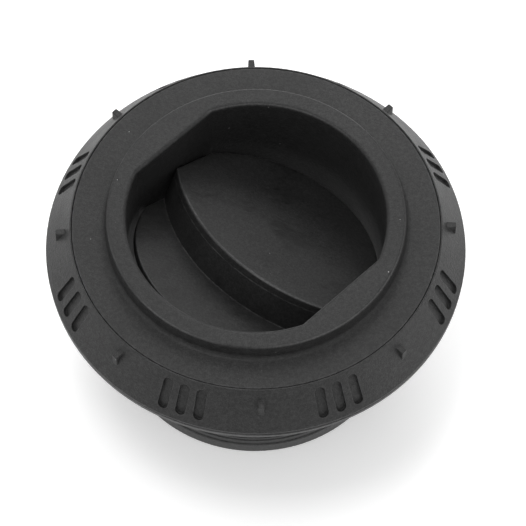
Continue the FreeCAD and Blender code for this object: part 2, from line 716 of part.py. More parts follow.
def make_turntable():
    """Turntable: disc, raised collar and the well tube with two flats, bush seats and stops."""
    body = new_body("turntable")
    profile = new_sketch(body, "turntable_profile", "XZ_Plane")
    draw_polygon(profile, [
        ("0", "-tube_depth"),
        (TUBE_RADIUS, "-tube_depth"),
        (TUBE_RADIUS, NECK_FOOT),
        (NECK_RADIUS, NECK_FOOT),
        (NECK_RADIUS, CLIP_FOOT),
        (CLIP_BORE_RADIUS, CLIP_FOOT),
        (CLIP_BORE_RADIUS, BRAKE_FOOT),
        (NECK_RADIUS, BRAKE_FOOT),
        (NECK_RADIUS, DISC_FOOT),
        (DISC_RADIUS, DISC_FOOT),
        (DISC_RADIUS, TOP),
        (f"({COLLAR_RADIUS} + collar_draft)", TOP),
        (COLLAR_RADIUS, COLLAR_TOP),
        ("0", COLLAR_TOP),
    ])
    revolve(body, profile, "turntable_turned")
    well = new_sketch(body, "well_outline")
    draw_two_flats(well, ("0", WELL_RADIUS, -1), ("0", WELL_RADIUS, 1), WELL_FLAT)
    pocket(body, well, "well", f"(4 * {COLLAR_TOP})", both_sides=True)

    dress(body, "Fillet", "collar_edge", circle_at(COLLAR_RADIUS, COLLAR_TOP), "collar_edge_round")
    dress(body, "Fillet", "collar_foot",
          circle_at(f"({COLLAR_RADIUS} + collar_draft)", TOP), "collar_foot_round")

    def inner_rim(edge):
        reach = max((vertex.X ** 2 + vertex.Y ** 2) ** 0.5 for vertex in edge.Vertexes)
        at_top = abs(edge.BoundBox.ZMin - value(COLLAR_TOP)) < SAME
        return at_top and reach < value(WELL_RADIUS) + SAME

    dress(body, "Fillet", "well_edge", inner_rim, "well_edge_round")
    dress(body, "Chamfer", "disc_edge", circle_at(DISC_RADIUS, TOP), "disc_edge_chamfer")

    stops = new_sketch(body, "stop_outline", "XY_Plane", lifted(f"({STOP_TOP} - stop_height)"))
    wall_side = f"({WELL_FLAT} + tube_wall / 2)"
    bare_side = f"({WELL_FLAT} - stop_reach)"
    for side in ("", "-"):
        draw_polygon(stops, [
            (f"({STOP_FACE} - stop_width)", f"{side}{bare_side}"),
            (STOP_FACE, f"{side}{bare_side}"),
            (STOP_FACE, f"{side}{wall_side}"),
            (f"({STOP_FACE} - stop_width)", f"{side}{wall_side}"),
        ])
    pad(body, stops, "stops", "stop_height")

    seat = new_sketch(body, "bush_outline", "XZ_Plane")
    draw_circle(seat, BUSH_RADIUS, "pivot_offset", "-pivot_drop")
    pocket(body, seat, "bush_seats", f"(3 * {TUBE_RADIUS})", both_sides=True)
    recess = new_sketch(body, "bush_head_outline", "XZ_Plane")
    draw_circle(recess, BUSH_HEAD_RADIUS, "pivot_offset", "-pivot_drop")
    pocket(body, recess, "bush_head_seats", f"(2 * ({WELL_FLAT} + bush_head_thickness))", both_sides=True)
    place(body, "0; 0; 0", FACE_FLATS)
    return [body]


def make_retaining_clip():
    """Open spring ring in the neck's groove, with two eared ends for the pliers."""
    outer = f"({CLIP_BORE_RADIUS} + clip_width)"
    body = ring_body("retaining_clip", CLIP_BORE_RADIUS, outer, CLIP_FOOT, BRAKE_FOOT, "345")
    ear = "(clip_width / 2)"
    reach = f"({outer} - {ear} * 0.7)"
    for number, heading in enumerate(("2", "343")):
        x = f"({reach} * cos({heading}))"
        y = f"({reach} * sin({heading}))"
        outline = new_sketch(body, f"ear_outline_{number + 1}", "XY_Plane", lifted(CLIP_FOOT))
        draw_circle(outline, ear, x, y)
        pad(body, outline, f"ear_{number + 1}", "clip_thickness")
        eye = new_sketch(body, f"eye_outline_{number + 1}", "XY_Plane", lifted(CLIP_FOOT))
        draw_circle(eye, f"({ear} * 0.45)", x, y)
        pocket(body, eye, f"eye_{number + 1}", "clip_thickness", upward=True)
    place(body, "0; 0; 0", FACE_FLATS)
    return [body]


def make_brake_washer():
    """Friction washer between the clip and the ledge, which holds the turntable where it is set."""
    inner = f"({NECK_RADIUS} + neck_clearance / 2)"
    return [ring_body("brake_washer", inner, f"({inner} + brake_width)", BRAKE_FOOT, LEDGE_FOOT)]


def make_stop_pads():
    """Rubber pads on the two stops, where the level flap rests."""
    pads = []
    for name, side in (("stop_pad_left", ""), ("stop_pad_right", "-")):
        body = new_body(name)
        outline = new_sketch(body, f"{name}_outline", "XY_Plane", lifted(STOP_TOP))
        draw_polygon(outline, [
            (f"({STOP_FACE} - stop_width)", f"{side}({WELL_FLAT} - stop_reach)"),
            (STOP_FACE, f"{side}({WELL_FLAT} - stop_reach)"),
            (STOP_FACE, f"{side}{WELL_FLAT}"),
            (f"({STOP_FACE} - stop_width)", f"{side}{WELL_FLAT}"),
        ])
        pad(body, outline, f"{name}_slab", "stop_pad_thickness")
        place(body, "0; 0; 0", FACE_FLATS)
        pads.append(body)
    return pads


def pivot_spot(along):
    """Position expression of a point on the pivot axis, along +Y of the unturned well."""
    x = f"pivot_offset * cos(flap_heading) - ({along}) * sin(flap_heading)"
    y = f"pivot_offset * sin(flap_heading) + ({along}) * cos(flap_heading)"
    return f"{x}; {y}; -pivot_drop"


def outward(side):
    """Rotation expression that turns +Z to the pivot axis, outwards on that side."""
    return f"rotation(flap_heading; 0; {-90 * side})"


def make_pivot_bushes():
    """Flanged bushes pressed into the well's flats from inside."""
    bushes = []
    for name, side in (("pivot_bush_left", 1), ("pivot_bush_right", -1)):
        body = new_body(name)
        profile = new_sketch(body, f"{name}_profile", "XZ_Plane")
        length = f"(sqrt({TUBE_RADIUS} ^ 2 - (pivot_offset + {BUSH_RADIUS}) ^ 2) - {WELL_FLAT})"
        draw_polygon(profile, [
            (BUSH_BORE_RADIUS, "0"),
            (BUSH_HEAD_RADIUS, "0"),
            (BUSH_HEAD_RADIUS, "bush_head_thickness"),
            (BUSH_RADIUS, "bush_head_thickness"),
            (BUSH_RADIUS, length),
            (BUSH_BORE_RADIUS, length),
        ])
        revolve(body, profile, f"{name}_turned")
        place(body, pivot_spot(f"{side} * {WELL_FLAT}"), outward(side))
        bushes.append(body)
    return bushes


# ---------------------------------------------------------------- flap pieces

TILTED = "rotation(flap_heading; rest_tilt; 0)"
PIVOT = "pivot_offset * cos(flap_heading); pivot_offset * sin(flap_heading); -pivot_drop"
POST_SPOTS = (("-post_front", "0"), (POST_BACK, POST_SIDE), (POST_BACK, f"-{POST_SIDE}"))


def draw_raised_outline(sketch, inset="0"):
    """Outline of the flap's raised half: bowed step in front, well arc behind, flats at the sides."""
    draw_two_flats(sketch, (STEP_CENTRE, f"({STEP_RADIUS} - {inset})", -1),
                   ("-pivot_offset", f"({FLAP_RADIUS} - {inset})", 1), f"({FLAP_FLAT} - {inset})")


def make_flap_plate():
    """Flap plate: the lower floor with a hollow raised half, pin bosses and screw posts."""
    body = new_body("flap_plate")
    floor = new_sketch(body, "floor_outline", "XY_Plane", lifted(FLAP_FOOT))
    draw_two_flats(floor, ("-pivot_offset", FLAP_RADIUS, -1), ("-pivot_offset", FLAP_RADIUS, 1),
                   FLAP_FLAT)
    pad(body, floor, "floor", "floor_thickness")
    foot = flat_edge_at(FLAP_FOOT)
    dress(body, "Chamfer", "floor_edge", foot, "floor_chamfer")
    dress(body, "Fillet", "floor_top_edge", flat_edge_at("-floor_drop"), "floor_round")

    raised = new_sketch(body, "raised_outline", "XY_Plane", lifted("(-floor_drop - floor_thickness / 2)"))
    draw_raised_outline(raised)
    pad(body, raised, "raised", f"({COVER_FOOT} + floor_drop + floor_thickness / 2)")
    hollow = new_sketch(body, "hollow_outline", "XY_Plane", lifted(COVER_FOOT))
    draw_raised_outline(hollow, "flap_wall")
    pocket(body, hollow, "hollow", f"({COVER_FOOT} + floor_drop)")

    for number, side in enumerate(("", "-")):
        plane = f"placement(vector(0; 0; {'-' if number == 0 else ''}{FLAP_FLAT}); rotation(0; 0; 0))"
        boss = new_sketch(body, f"pin_boss_outline_{number + 1}", "XZ_Plane", plane)
        draw_circle(boss, PIN_BOSS_RADIUS)
        feature = body.newObject("PartDesign::Pad", f"pin_boss_{number + 1}")
        feature.Profile = boss
        feature.setExpression("Length", bound("(pin_seat + flap_wall)"))
        feature.Reversed = number == 1
        settle(body, feature, True)
    bore = new_sketch(body, "pin_bore_outline", "XZ_Plane")
    draw_circle(bore, "pin_radius")
    pocket(body, bore, "pin_bore", f"(3 * {FLAP_FLAT})", both_sides=True)
    for number, sign in enumerate(("-", "")):
        plane = f"placement(vector(0; 0; {sign}{FLAP_FLAT}); rotation(0; 0; 0))"
        seat = new_sketch(body, f"o_ring_outline_{number + 1}", "XZ_Plane", plane)
        draw_circle(seat, O_RING_POCKET_RADIUS)
        depth = "(2 * (o_ring_section_radius + o_ring_fit) - flap_side_gap)"
        pocket(body, seat, f"o_ring_pocket_{number + 1}", depth, upward=number == 0)

    posts = new_sketch(body, "post_outline", "XY_Plane", lifted("(-floor_drop - floor_thickness / 2)"))
    for x, y in POST_SPOTS:
        draw_circle(posts, "post_radius", x, y)
    pad(body, posts, "posts", f"({POST_TOP} + floor_drop + floor_thickness / 2)")
    holes = new_sketch(body, "post_hole_outline", "XY_Plane", lifted(FLAP_FOOT))
    for x, y in POST_SPOTS:
        draw_circle(holes, "cover_screw_radius", x, y)
    pocket(body, holes, "post_holes", upward=True)
    for number, (x, y) in enumerate(POST_SPOTS):
        sink = body.newObject("PartDesign::SubtractiveCone", f"cover_screw_sink_{number + 1}")
        sink.AttachmentSupport = [(origin_part(body, "XY_Plane"), "")]
        sink.MapMode = "FlatFace"
        sink.setExpression("Radius1", bound("cover_screw_head_radius"))
        sink.setExpression("Radius2", bound("cover_screw_radius"))
        sink.setExpression("Height", bound("cover_screw_head_height"))
        where = f"placement(vector({x}; {y}; {FLAP_FOOT}); rotation(0; 0; 0))"
        sink.setExpression("AttachmentOffset", bound(where))
        settle(body, sink, False)
    place(body, PIVOT, TILTED)
    return [body]


def make_flap_cover():
    """Flap cover: the plateau, with its rounded edge and three screw bosses below."""
    body = new_body("flap_cover")
    outline = new_sketch(body, "cover_outline", "XY_Plane", lifted(COVER_FOOT))
    draw_raised_outline(outline)
    pad(body, outline, "cover", "cover_thickness")
    bosses = new_sketch(body, "cover_boss_outline", "XY_Plane", lifted(POST_TOP))
    for x, y in POST_SPOTS:
        draw_circle(bosses, "post_radius", x, y)
    pad(body, bosses, "cover_bosses", f"({COVER_FOOT} - {POST_TOP} + cover_thickness / 2)")
    holes = new_sketch(body, "cover_hole_outline", "XY_Plane", lifted(POST_TOP))
    for x, y in POST_SPOTS:
        draw_circle(holes, "cover_screw_radius", x, y)
    depth = f"({FLAP_FOOT} + cover_screw_length - {POST_TOP} + cover_screw_spare)"
    pocket(body, holes, "cover_holes", depth, upward=True)
    dress(body, "Fillet", "cover_edge", flat_edge_at(PLATEAU_RISE), "cover_round")
    place(body, PIVOT, TILTED)
    return [body]


def make_cover_screws():
    """Screws from below that hold the cover to the flap plate."""
    screws = []
    for number, (x, y) in enumerate(POST_SPOTS):
        body = screw_body(f"cover_screw_{number + 1}", "cover_screw_radius",
                          "cover_screw_head_radius", "cover_screw_head_height", "cover_screw_length")
        ahead = f"(({x}) * cos(rest_tilt) + {FLAP_FOOT} * sin(rest_tilt) + pivot_offset)"
        height = f"({FLAP_FOOT} * cos(rest_tilt) - ({x}) * sin(rest_tilt) - pivot_drop)"
        where = f"{ahead} * cos(flap_heading) - ({y}) * sin(flap_heading); " \
                f"{ahead} * sin(flap_heading) + ({y}) * cos(flap_heading); {height}"
        place(body, where, TILTED)
        screws.append(body)
    return screws


def make_pivot_pins():
    """Steel pins pressed into the flap's bosses, running in the bushes."""
    pins = []
    for name, side in (("pivot_pin_left", 1), ("pivot_pin_right", -1)):
        body = new_body(name)
        profile = new_sketch(body, f"{name}_profile", "XZ_Plane")
        length = f"(sqrt({TUBE_RADIUS} ^ 2 - (pivot_offset + pin_radius) ^ 2) - {FLAP_FLAT} + pin_seat)"
        point = "(pin_radius * 0.2)"
        draw_polygon(profile, [
            ("0", "0"),
            (f"(pin_radius - {point})", "0"),
            ("pin_radius", point),
            ("pin_radius", f"({length} - {point})"),
            (f"(pin_radius - {point})", length),
            ("0", length),
        ])
        revolve(body, profile, f"{name}_turned")
        place(body, pivot_spot(f"{side} * ({FLAP_FLAT} - pin_seat)"), outward(side))
        pins.append(body)
    return pins


def make_pivot_o_rings():
    """Rubber rings round the pins that give the flap the friction that holds it."""
    rings = []
    for name, side in (("pivot_o_ring_left", 1), ("pivot_o_ring_right", -1)):
        ring = DOC.addObject("Part::Torus", name)
        ring.Label = name
        ring.setExpression("Radius1", bound("(pin_radius + o_ring_section_radius + o_ring_fit)"))
        ring.setExpression("Radius2", bound("o_ring_section_radius"))
        middle = f"{side} * ({WELL_FLAT} - o_ring_section_radius - o_ring_fit)"
        place(ring, pivot_spot(middle), outward(side))
        rings.append(ring)
    return rings


# ---------------------------------------------------------------- model, tests and files

MAKERS = (
    make_liner_sleeve,
    make_end_ring,
    make_desk_gasket,
    make_skirt_ring,
    make_ring_screws,
    make_glide_ring,
    make_turntable,
    make_retaining_clip,
    make_brake_washer,
    make_stop_pads,
    make_pivot_bushes,
    make_flap_plate,
    make_flap_cover,
    make_cover_screws,
    make_pivot_pins,
    make_pivot_o_rings,
)


def main():
    """Build every piece, test the document and write one STEP file per node."""
    fill_sheet()
    nodes = []
    for make in MAKERS:
        nodes.extend(make())
    DOC.recompute()
    for item in DOC.Objects:
        if "Invalid" in item.State or "Error" in item.State:
            raise RuntimeError(f"{item.Name} is {item.State}")
    for node in nodes:
        if node.Shape.isNull() or not node.Shape.isValid() or not node.Shape.Solids:
            raise RuntimeError(f"{node.Label} has no valid solid")
    os.makedirs("parts", exist_ok=True)
    for node in nodes:
        node.Shape.exportStep(f"parts/{node.Label}.step")
        box = node.Shape.BoundBox
        print(f"{node.Label:20s} solids {len(node.Shape.Solids)} volume {node.Shape.Volume:9.2f} "
              f"z {box.ZMin:7.2f} to {box.ZMax:6.2f}")


main()
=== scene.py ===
import json
import logging
import math
from dataclasses import dataclass, field
from enum import Enum

import bmesh
import bpy
from mathutils import Matrix, Vector

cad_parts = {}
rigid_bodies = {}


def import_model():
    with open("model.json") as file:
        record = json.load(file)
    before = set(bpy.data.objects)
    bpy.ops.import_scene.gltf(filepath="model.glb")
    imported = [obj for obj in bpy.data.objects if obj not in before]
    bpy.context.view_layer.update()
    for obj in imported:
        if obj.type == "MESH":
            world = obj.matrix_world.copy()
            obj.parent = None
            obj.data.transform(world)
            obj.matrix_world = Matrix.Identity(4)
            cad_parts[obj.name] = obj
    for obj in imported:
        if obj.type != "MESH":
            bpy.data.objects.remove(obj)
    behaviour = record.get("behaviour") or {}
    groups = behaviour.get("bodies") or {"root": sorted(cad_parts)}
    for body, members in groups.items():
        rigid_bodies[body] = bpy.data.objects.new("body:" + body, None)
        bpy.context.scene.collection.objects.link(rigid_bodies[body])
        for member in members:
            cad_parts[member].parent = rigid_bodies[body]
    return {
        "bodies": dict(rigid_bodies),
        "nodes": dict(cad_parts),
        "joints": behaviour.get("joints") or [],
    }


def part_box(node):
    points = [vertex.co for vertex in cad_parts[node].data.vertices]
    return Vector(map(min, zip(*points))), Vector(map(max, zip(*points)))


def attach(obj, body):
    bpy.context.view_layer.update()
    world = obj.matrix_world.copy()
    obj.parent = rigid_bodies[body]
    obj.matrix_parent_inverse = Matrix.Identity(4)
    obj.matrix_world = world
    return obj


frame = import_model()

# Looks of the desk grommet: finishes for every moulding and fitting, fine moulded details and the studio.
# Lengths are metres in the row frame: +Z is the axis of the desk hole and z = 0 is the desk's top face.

log = logging.getLogger("desk_grommet")

MM = 0.001

Colour = tuple[float, float, float]
Triple = tuple[float, float, float]      # a place, three factors or three angles


def grey(level: float, warmth: float = 0.0) -> Colour:
    """Return a linear grey of that level, shifted a little to red for a warmth above 0."""
    return (level * (1.0 + warmth), level, level * (1.0 - warmth))


# ---------------------------------------------------------------------------- node graphs


class Graph:
    """Short calls for filling one node tree."""

    def __init__(self, tree: bpy.types.NodeTree) -> None:
        """Keep the node tree that the calls fill."""
        self.tree = tree

    def add(self, kind: str, **settings: object) -> bpy.types.Node:
        """Add a node and set its properties.

        Args:
            kind: the node's type name, such as ShaderNodeMath.
            **settings: the node's own properties by name.

        Returns:
            The new node.
        """
        node = self.tree.nodes.new(kind)
        for name, setting in settings.items():
            setattr(node, name, setting)
        return node

    def feed(self, node: bpy.types.Node, **inputs: object) -> bpy.types.Node:
        """Set or link inputs of a node.

        Args:
            node: the node.
            **inputs: socket names, with underscores for spaces, and each one's value or source socket.

        Returns:
            The same node.
        """
        for name, source in inputs.items():
            self.join(source, node.inputs[name.replace("_", " ")])
        return node

    def join(self, source: object, socket: bpy.types.NodeSocket) -> None:
        """Link a source to an input, or set the input to a plain value.

        Args:
            source: a socket, a number or a tuple; a colour may leave out its alpha.
            socket: the input socket.
        """
        if isinstance(source, bpy.types.NodeSocket):
            self.tree.links.new(source, socket)
        elif isinstance(source, tuple) and socket.type == "RGBA" and len(source) == 3:
            socket.default_value = (*source, 1.0)
        else:
            socket.default_value = source

    def math(self, operation: str, *terms: object, clamp: bool = False) -> bpy.types.NodeSocket:
        """Return the result of a maths node.

        Args:
            operation: the node's operation, such as MULTIPLY.
            *terms: numbers or sockets, in the node's order.
            clamp: keep the result between 0 and 1.

        Returns:
            The node's output socket.
        """
        node = self.add("ShaderNodeMath", operation=operation, use_clamp=clamp)
        for index, term in enumerate(terms):
            self.join(term, node.inputs[index])
        return node.outputs[0]

    def hypotenuse(self, first: object, second: object) -> bpy.types.NodeSocket:
        """Return the square root of the sum of two squares."""
        squares = self.math("ADD", self.math("MULTIPLY", first, first), self.math("MULTIPLY", second, second))
        return self.math("SQRT", squares)

    def reach(self, where: bpy.types.NodeSocket, centre: Triple) -> bpy.types.NodeSocket:
        """Return the distance of a coordinate from a centre.

        Args:
            where: the coordinate's socket.
            centre: the centre's place in the same axes.

        Returns:
            The distance's socket.
        """
        node = self.add("ShaderNodeVectorMath", operation="DISTANCE")
        self.join(where, node.inputs[0])
        self.join(centre, node.inputs[1])
        return node.outputs["Value"]

    def span(self, source: object, low: object, high: object, to_low: float = 0.0,
             to_high: float = 1.0) -> bpy.types.NodeSocket:
        """Return a value mapped from low..high to to_low..to_high with soft ends.

        Args:
            source: the value to map.
            low: where the result reaches to_low.
            high: where the result reaches to_high.
            to_low: the result at low.
            to_high: the result at high.

        Returns:
            The mapped value's socket.
        """
        node = self.add("ShaderNodeMapRange", interpolation_type="SMOOTHSTEP")
        for name, term in (("Value", source), ("From Min", low), ("From Max", high),
                           ("To Min", to_low), ("To Max", to_high)):
            self.join(term, node.inputs[name])
        return node.outputs["Result"]

    def blend(self, mask: object, under: object, over: object) -> bpy.types.NodeSocket:
        """Return a colour with another laid on it by a mask.

        Args:
            mask: how much of the upper colour shows, from 0 to 1.
            under: the lower colour.
            over: the upper colour.

        Returns:
            The blended colour's socket.
        """
        node = self.add("ShaderNodeMix", data_type="RGBA", blend_type="MIX", clamp_factor=True)
        for index, source in ((0, mask), (6, under), (7, over)):
            self.join(source, node.inputs[index])
        return node.outputs[2]

    def noise(self, where: object, scale: object, detail: float = 2.0,
              roughness: float = 0.5) -> bpy.types.NodeSocket:
        """Return a noise value about 0.5.

        Args:
            where: the coordinate's socket.
            scale: features for each metre.
            detail: the number of finer layers.
            roughness: how strong each finer layer is.

        Returns:
            The noise value's socket.
        """
        node = self.add("ShaderNodeTexNoise", noise_dimensions="3D")
        self.feed(node, Vector=where, Scale=scale, Detail=detail, Roughness=roughness)
        return node.outputs["Fac"]

    def cells(self, where: object, scale: object, feature: str = "F1") -> bpy.types.Node:
        """Return a Voronoi node over the coordinate at that scale."""
        node = self.add("ShaderNodeTexVoronoi", voronoi_dimensions="3D", feature=feature)
        return self.feed(node, Vector=where, Scale=scale)

    def bump(self, height: object, depth: float, normal: object) -> bpy.types.NodeSocket:
        """Return the normal of a surface that a fine relief covers.

        Args:
            height: the relief's socket, from 0 to 1.
            depth: the relief's height where the socket gives 1.
            normal: the normal under the relief.

        Returns:
            The new normal's socket.
        """
        node = self.add("ShaderNodeBump")
        self.feed(node, Strength=1.0, Distance=depth, Height=height, Normal=normal)
        return node.outputs["Normal"]

    def axes(self, where: object) -> bpy.types.bpy_prop_collection:
        """Split a coordinate into its parts.

        Args:
            where: the coordinate's socket.

        Returns:
            The X, Y and Z sockets by name.
        """
        node = self.add("ShaderNodeSeparateXYZ")
        self.join(where, node.inputs[0])
        return node.outputs

    def place(self) -> bpy.types.NodeSocket:
        """Return the object coordinate, which is the row frame in metres and rides with the piece."""
        return self.add("ShaderNodeTexCoord").outputs["Object"]

    def place_around(self) -> bpy.types.NodeSocket:
        """Return the direction in the surroundings, for a world's graph."""
        return self.add("ShaderNodeTexCoord").outputs["Generated"]

    def stretched(self, where: object, factors: Triple,
                  turn: Triple = (0.0, 0.0, 0.0)) -> bpy.types.NodeSocket:
        """Return the coordinate scaled along its axes and then turned.

        Args:
            where: the coordinate's socket.
            factors: the scale along each axis.
            turn: the rotation about each axis, in radians.

        Returns:
            The new coordinate's socket.
        """
        node = self.add("ShaderNodeMapping", vector_type="POINT")
        self.feed(node, Vector=where, Rotation=turn, Scale=factors)
        return node.outputs["Vector"]


Sockets = dict[str, bpy.types.NodeSocket]


class SocketKind(Enum):
    """Kinds of group sockets that the shared effects use."""

    VALUE = "NodeSocketFloat"
    NORMAL = "NodeSocketVector"


@dataclass(frozen=True)
class Effect:
    """A shared surface effect, kept as one node group.

    Attributes:
        name: the group's name.
        inputs: socket names and their usual values.
        outputs: socket names and kinds.
    """

    name: str
    inputs: dict[str, float]
    outputs: dict[str, SocketKind]

    def fill(self, graph: Graph, given: Sockets) -> Sockets:
        """Fill the group and return the socket that feeds each output."""
        raise NotImplementedError

    def group(self) -> bpy.types.NodeTree:
        """Build the effect's node group at the first call.

        Returns:
            The node group, the same one at each call.
        """
        known = bpy.data.node_groups.get(self.name)
        if known:
            return known
        tree = bpy.data.node_groups.new(self.name, "ShaderNodeTree")
        for name, usual in self.inputs.items():
            socket = tree.interface.new_socket(name, in_out="INPUT", socket_type=SocketKind.VALUE.value)
            socket.default_value = usual
        for name, kind in self.outputs.items():
            tree.interface.new_socket(name, in_out="OUTPUT", socket_type=kind.value)
        graph = Graph(tree)
        entry = graph.add("NodeGroupInput")
        result = self.fill(graph, {name: entry.outputs[name] for name in self.inputs})
        graph.feed(graph.add("NodeGroupOutput"), **result)
        return tree

    def use(self, graph: Graph, **values: object) -> Sockets:
        """Place the effect in a material.

        Args:
            graph: the material's graph.
            **values: inputs that differ from the usual ones.

        Returns:
            The group node's output sockets by name.
        """
        node = graph.add("ShaderNodeGroup", node_tree=self.group(), label=self.name)
        graph.feed(node, **values)
        return {name: node.outputs[name] for name in self.outputs}


class SparkGrain(Effect):
    """Fine pebbled grain that a spark-eroded mould leaves on plastic."""

    PEBBLE_ENDS = (0.05, 0.75)
    PEBBLE_SHARE = 0.6
    FINE_RATE = 2.3             # how much finer than the pebbles
    FINE_SHARE = 0.8
    PATCH_RATE = 0.55
    PATCH_TONE = 0.35
    TONE_ENDS = (0.4, 0.64)

    def fill(self, graph: Graph, given: Sockets) -> Sockets:
        """Lay the pebbles, their fine roughness and the change of tone.

        Args:
            graph: the group's graph.
            given: Size, the width of one pebble.

        Returns:
            Height, and the slight Tone that goes with it.
        """
        where = graph.place()
        scale = graph.math("DIVIDE", 1.0, given["Size"])
        pits = graph.cells(where, scale, "SMOOTH_F1")
        fine = graph.noise(where, graph.math("MULTIPLY", scale, self.FINE_RATE), detail=3.0, roughness=0.6)
        pebble = graph.span(pits.outputs["Distance"], *self.PEBBLE_ENDS)
        height = graph.math("ADD", graph.math("MULTIPLY", pebble, self.PEBBLE_SHARE),
                            graph.math("MULTIPLY", fine, self.FINE_SHARE))
        patch = graph.noise(where, graph.math("MULTIPLY", scale, self.PATCH_RATE), detail=2.0, roughness=0.6)
        tone = graph.math("ADD", graph.math("MULTIPLY", fine, 1.0 - self.PATCH_TONE),
                          graph.math("MULTIPLY", patch, self.PATCH_TONE))
        return {"Height": height, "Tone": graph.span(tone, *self.TONE_ENDS)}


class EdgeWearAndHighlight(Effect):
    """Rounded edges with a lighter line along them: rubbed wear, and on the black mouldings also a painted
    highlight.
    """

    ROUNDING = 0.45             # radius of the shaded rounding, as a share of the line's width
    BEND_ENDS = (0.015, 0.12)
    BREAK_SCALE = 620.0
    BREAK_ENDS = (0.36, 0.62)

    def fill(self, graph: Graph, given: Sockets) -> Sockets:
        """Round the edges and find where the pale line lies.

        Args:
            graph: the group's graph.
            given: Width of the pale line and its Amount.

        Returns:
            Mask of the pale edge line, which is rubbed wear and on the black mouldings also a painted
            highlight, and the softened Normal.
        """
        wide = graph.add("ShaderNodeBevel", samples=6)
        graph.feed(wide, Radius=given["Width"])
        narrow = graph.add("ShaderNodeBevel", samples=4)
        graph.feed(narrow, Radius=graph.math("MULTIPLY", given["Width"], self.ROUNDING))
        flat = graph.add("ShaderNodeNewGeometry").outputs["Normal"]
        dot = graph.add("ShaderNodeVectorMath", operation="DOT_PRODUCT")
        graph.join(wide.outputs["Normal"], dot.inputs[0])
        graph.join(flat, dot.inputs[1])
        bend = graph.math("SUBTRACT", 1.0, dot.outputs["Value"], clamp=True)
        edge = graph.span(bend, *self.BEND_ENDS)
        broken = graph.noise(graph.place(), self.BREAK_SCALE, detail=4.0, roughness=0.65)
        # pale edge line: rubbed wear, and on the black mouldings also a painted highlight
        mask = graph.math("MULTIPLY", edge, graph.span(broken, *self.BREAK_ENDS))
        return {"Mask": graph.math("MULTIPLY", mask, given["Amount"]), "Normal": narrow.outputs["Normal"]}


class DustSpecks(Effect):
    """Sparse tiny pale flecks of dust, a few to the square centimetre."""

    SMALLEST = 0.4              # smallest fleck, as a share of the usual radius
    CORE = 0.55                 # share of a fleck that is full, before it fades out
    FAINTEST = 0.35

    def fill(self, graph: Graph, given: Sockets) -> Sockets:
        """Put a round fleck in a few of the cells.

        Args:
            graph: the group's graph.
            given: Spacing of the cells, Radius of a fleck and the Share of cells that hold one.

        Returns:
            Mask of the flecks.
        """
        where = graph.place()
        cells = graph.cells(where, graph.math("DIVIDE", 1.0, given["Spacing"]))
        pick = graph.add("ShaderNodeSeparateColor")
        graph.join(cells.outputs["Color"], pick.inputs["Color"])
        chosen = graph.math("LESS_THAN", pick.outputs["Red"], given["Share"])
        growth = graph.math("ADD", pick.outputs["Green"], self.SMALLEST)
        reach = graph.math("MULTIPLY", given["Radius"], growth)
        ratio = graph.math("DIVIDE", reach, given["Spacing"])
        core = graph.math("MULTIPLY", ratio, self.CORE)
        fleck = graph.span(cells.outputs["Distance"], core, ratio, 1.0, 0.0)
        strength = graph.math("ADD", self.FAINTEST,
                              graph.math("MULTIPLY", pick.outputs["Blue"], 1.0 - self.FAINTEST))
        return {"Mask": graph.math("MULTIPLY", graph.math("MULTIPLY", chosen, fleck), strength)}


class RubMarks(Effect):
    """Smudges and short drag marks left by fingers and plugs."""

    WARP_RATE = 0.5
    WARP = 6.0 * MM             # how far the warp shifts the pattern
    SMUDGE_STRETCH = (0.55, 1.0, 1.0)
    SMUDGE_TURN = (0.0, 0.0, 0.75)
    SMUDGE_ENDS = (0.47, 0.66)
    DRAG_STRETCH = (0.12, 1.6, 1.0)
    DRAG_TURN = (0.0, 0.0, 0.95)
    DRAG_RATE = 3.4
    DRAG_ENDS = (0.60, 0.70)

    def fill(self, graph: Graph, given: Sockets) -> Sockets:
        """Spread the smudges and draw the marks inside them.

        Args:
            graph: the group's graph.
            given: Size of a smudge and the Amount of both.

        Returns:
            Smudge mask in broad patches and Scratch mask in short lines.
        """
        where = graph.place()
        scale = graph.math("DIVIDE", 1.0, given["Size"])
        warp = graph.add("ShaderNodeTexNoise", noise_dimensions="3D")
        graph.feed(warp, Vector=where, Scale=graph.math("MULTIPLY", scale, self.WARP_RATE),
                   Detail=3.0, Roughness=0.6)
        shifted = graph.add("ShaderNodeVectorMath", operation="MULTIPLY_ADD")
        graph.join(warp.outputs["Color"], shifted.inputs[0])
        graph.join((self.WARP, self.WARP, self.WARP), shifted.inputs[1])
        graph.join(where, shifted.inputs[2])
        broad_place = graph.stretched(shifted.outputs["Vector"], self.SMUDGE_STRETCH, self.SMUDGE_TURN)
        smudge = graph.span(graph.noise(broad_place, scale, detail=5.0, roughness=0.62), *self.SMUDGE_ENDS)
        drag_place = graph.stretched(shifted.outputs["Vector"], self.DRAG_STRETCH, self.DRAG_TURN)
        drag_scale = graph.math("MULTIPLY", scale, self.DRAG_RATE)
        drag = graph.noise(drag_place, drag_scale, detail=3.0, roughness=0.5)
        scratch = graph.math("MULTIPLY", graph.span(drag, *self.DRAG_ENDS), smudge)
        return {"Smudge": graph.math("MULTIPLY", smudge, given["Amount"]),
                "Scratch": graph.math("MULTIPLY", scratch, given["Amount"])}


class MouldFlow(Effect):
    """Broad soft change of shade across a moulding, from the way the melt ran."""

    FLATTENING = (1.0, 1.0, 2.2)
    TONE_ENDS = (0.3, 0.7)

    def fill(self, graph: Graph, given: Sockets) -> Sockets:
        """Lay the broad change of shade.

        Args:
            graph: the group's graph.
            given: Size of one patch.

        Returns:
            Tone of the flow, about 0.5.
        """
        where = graph.stretched(graph.place(), self.FLATTENING)
        broad = graph.noise(where, graph.math("DIVIDE", 1.0, given["Size"]), detail=4.0, roughness=0.55)
        return {"Tone": graph.span(broad, *self.TONE_ENDS)}


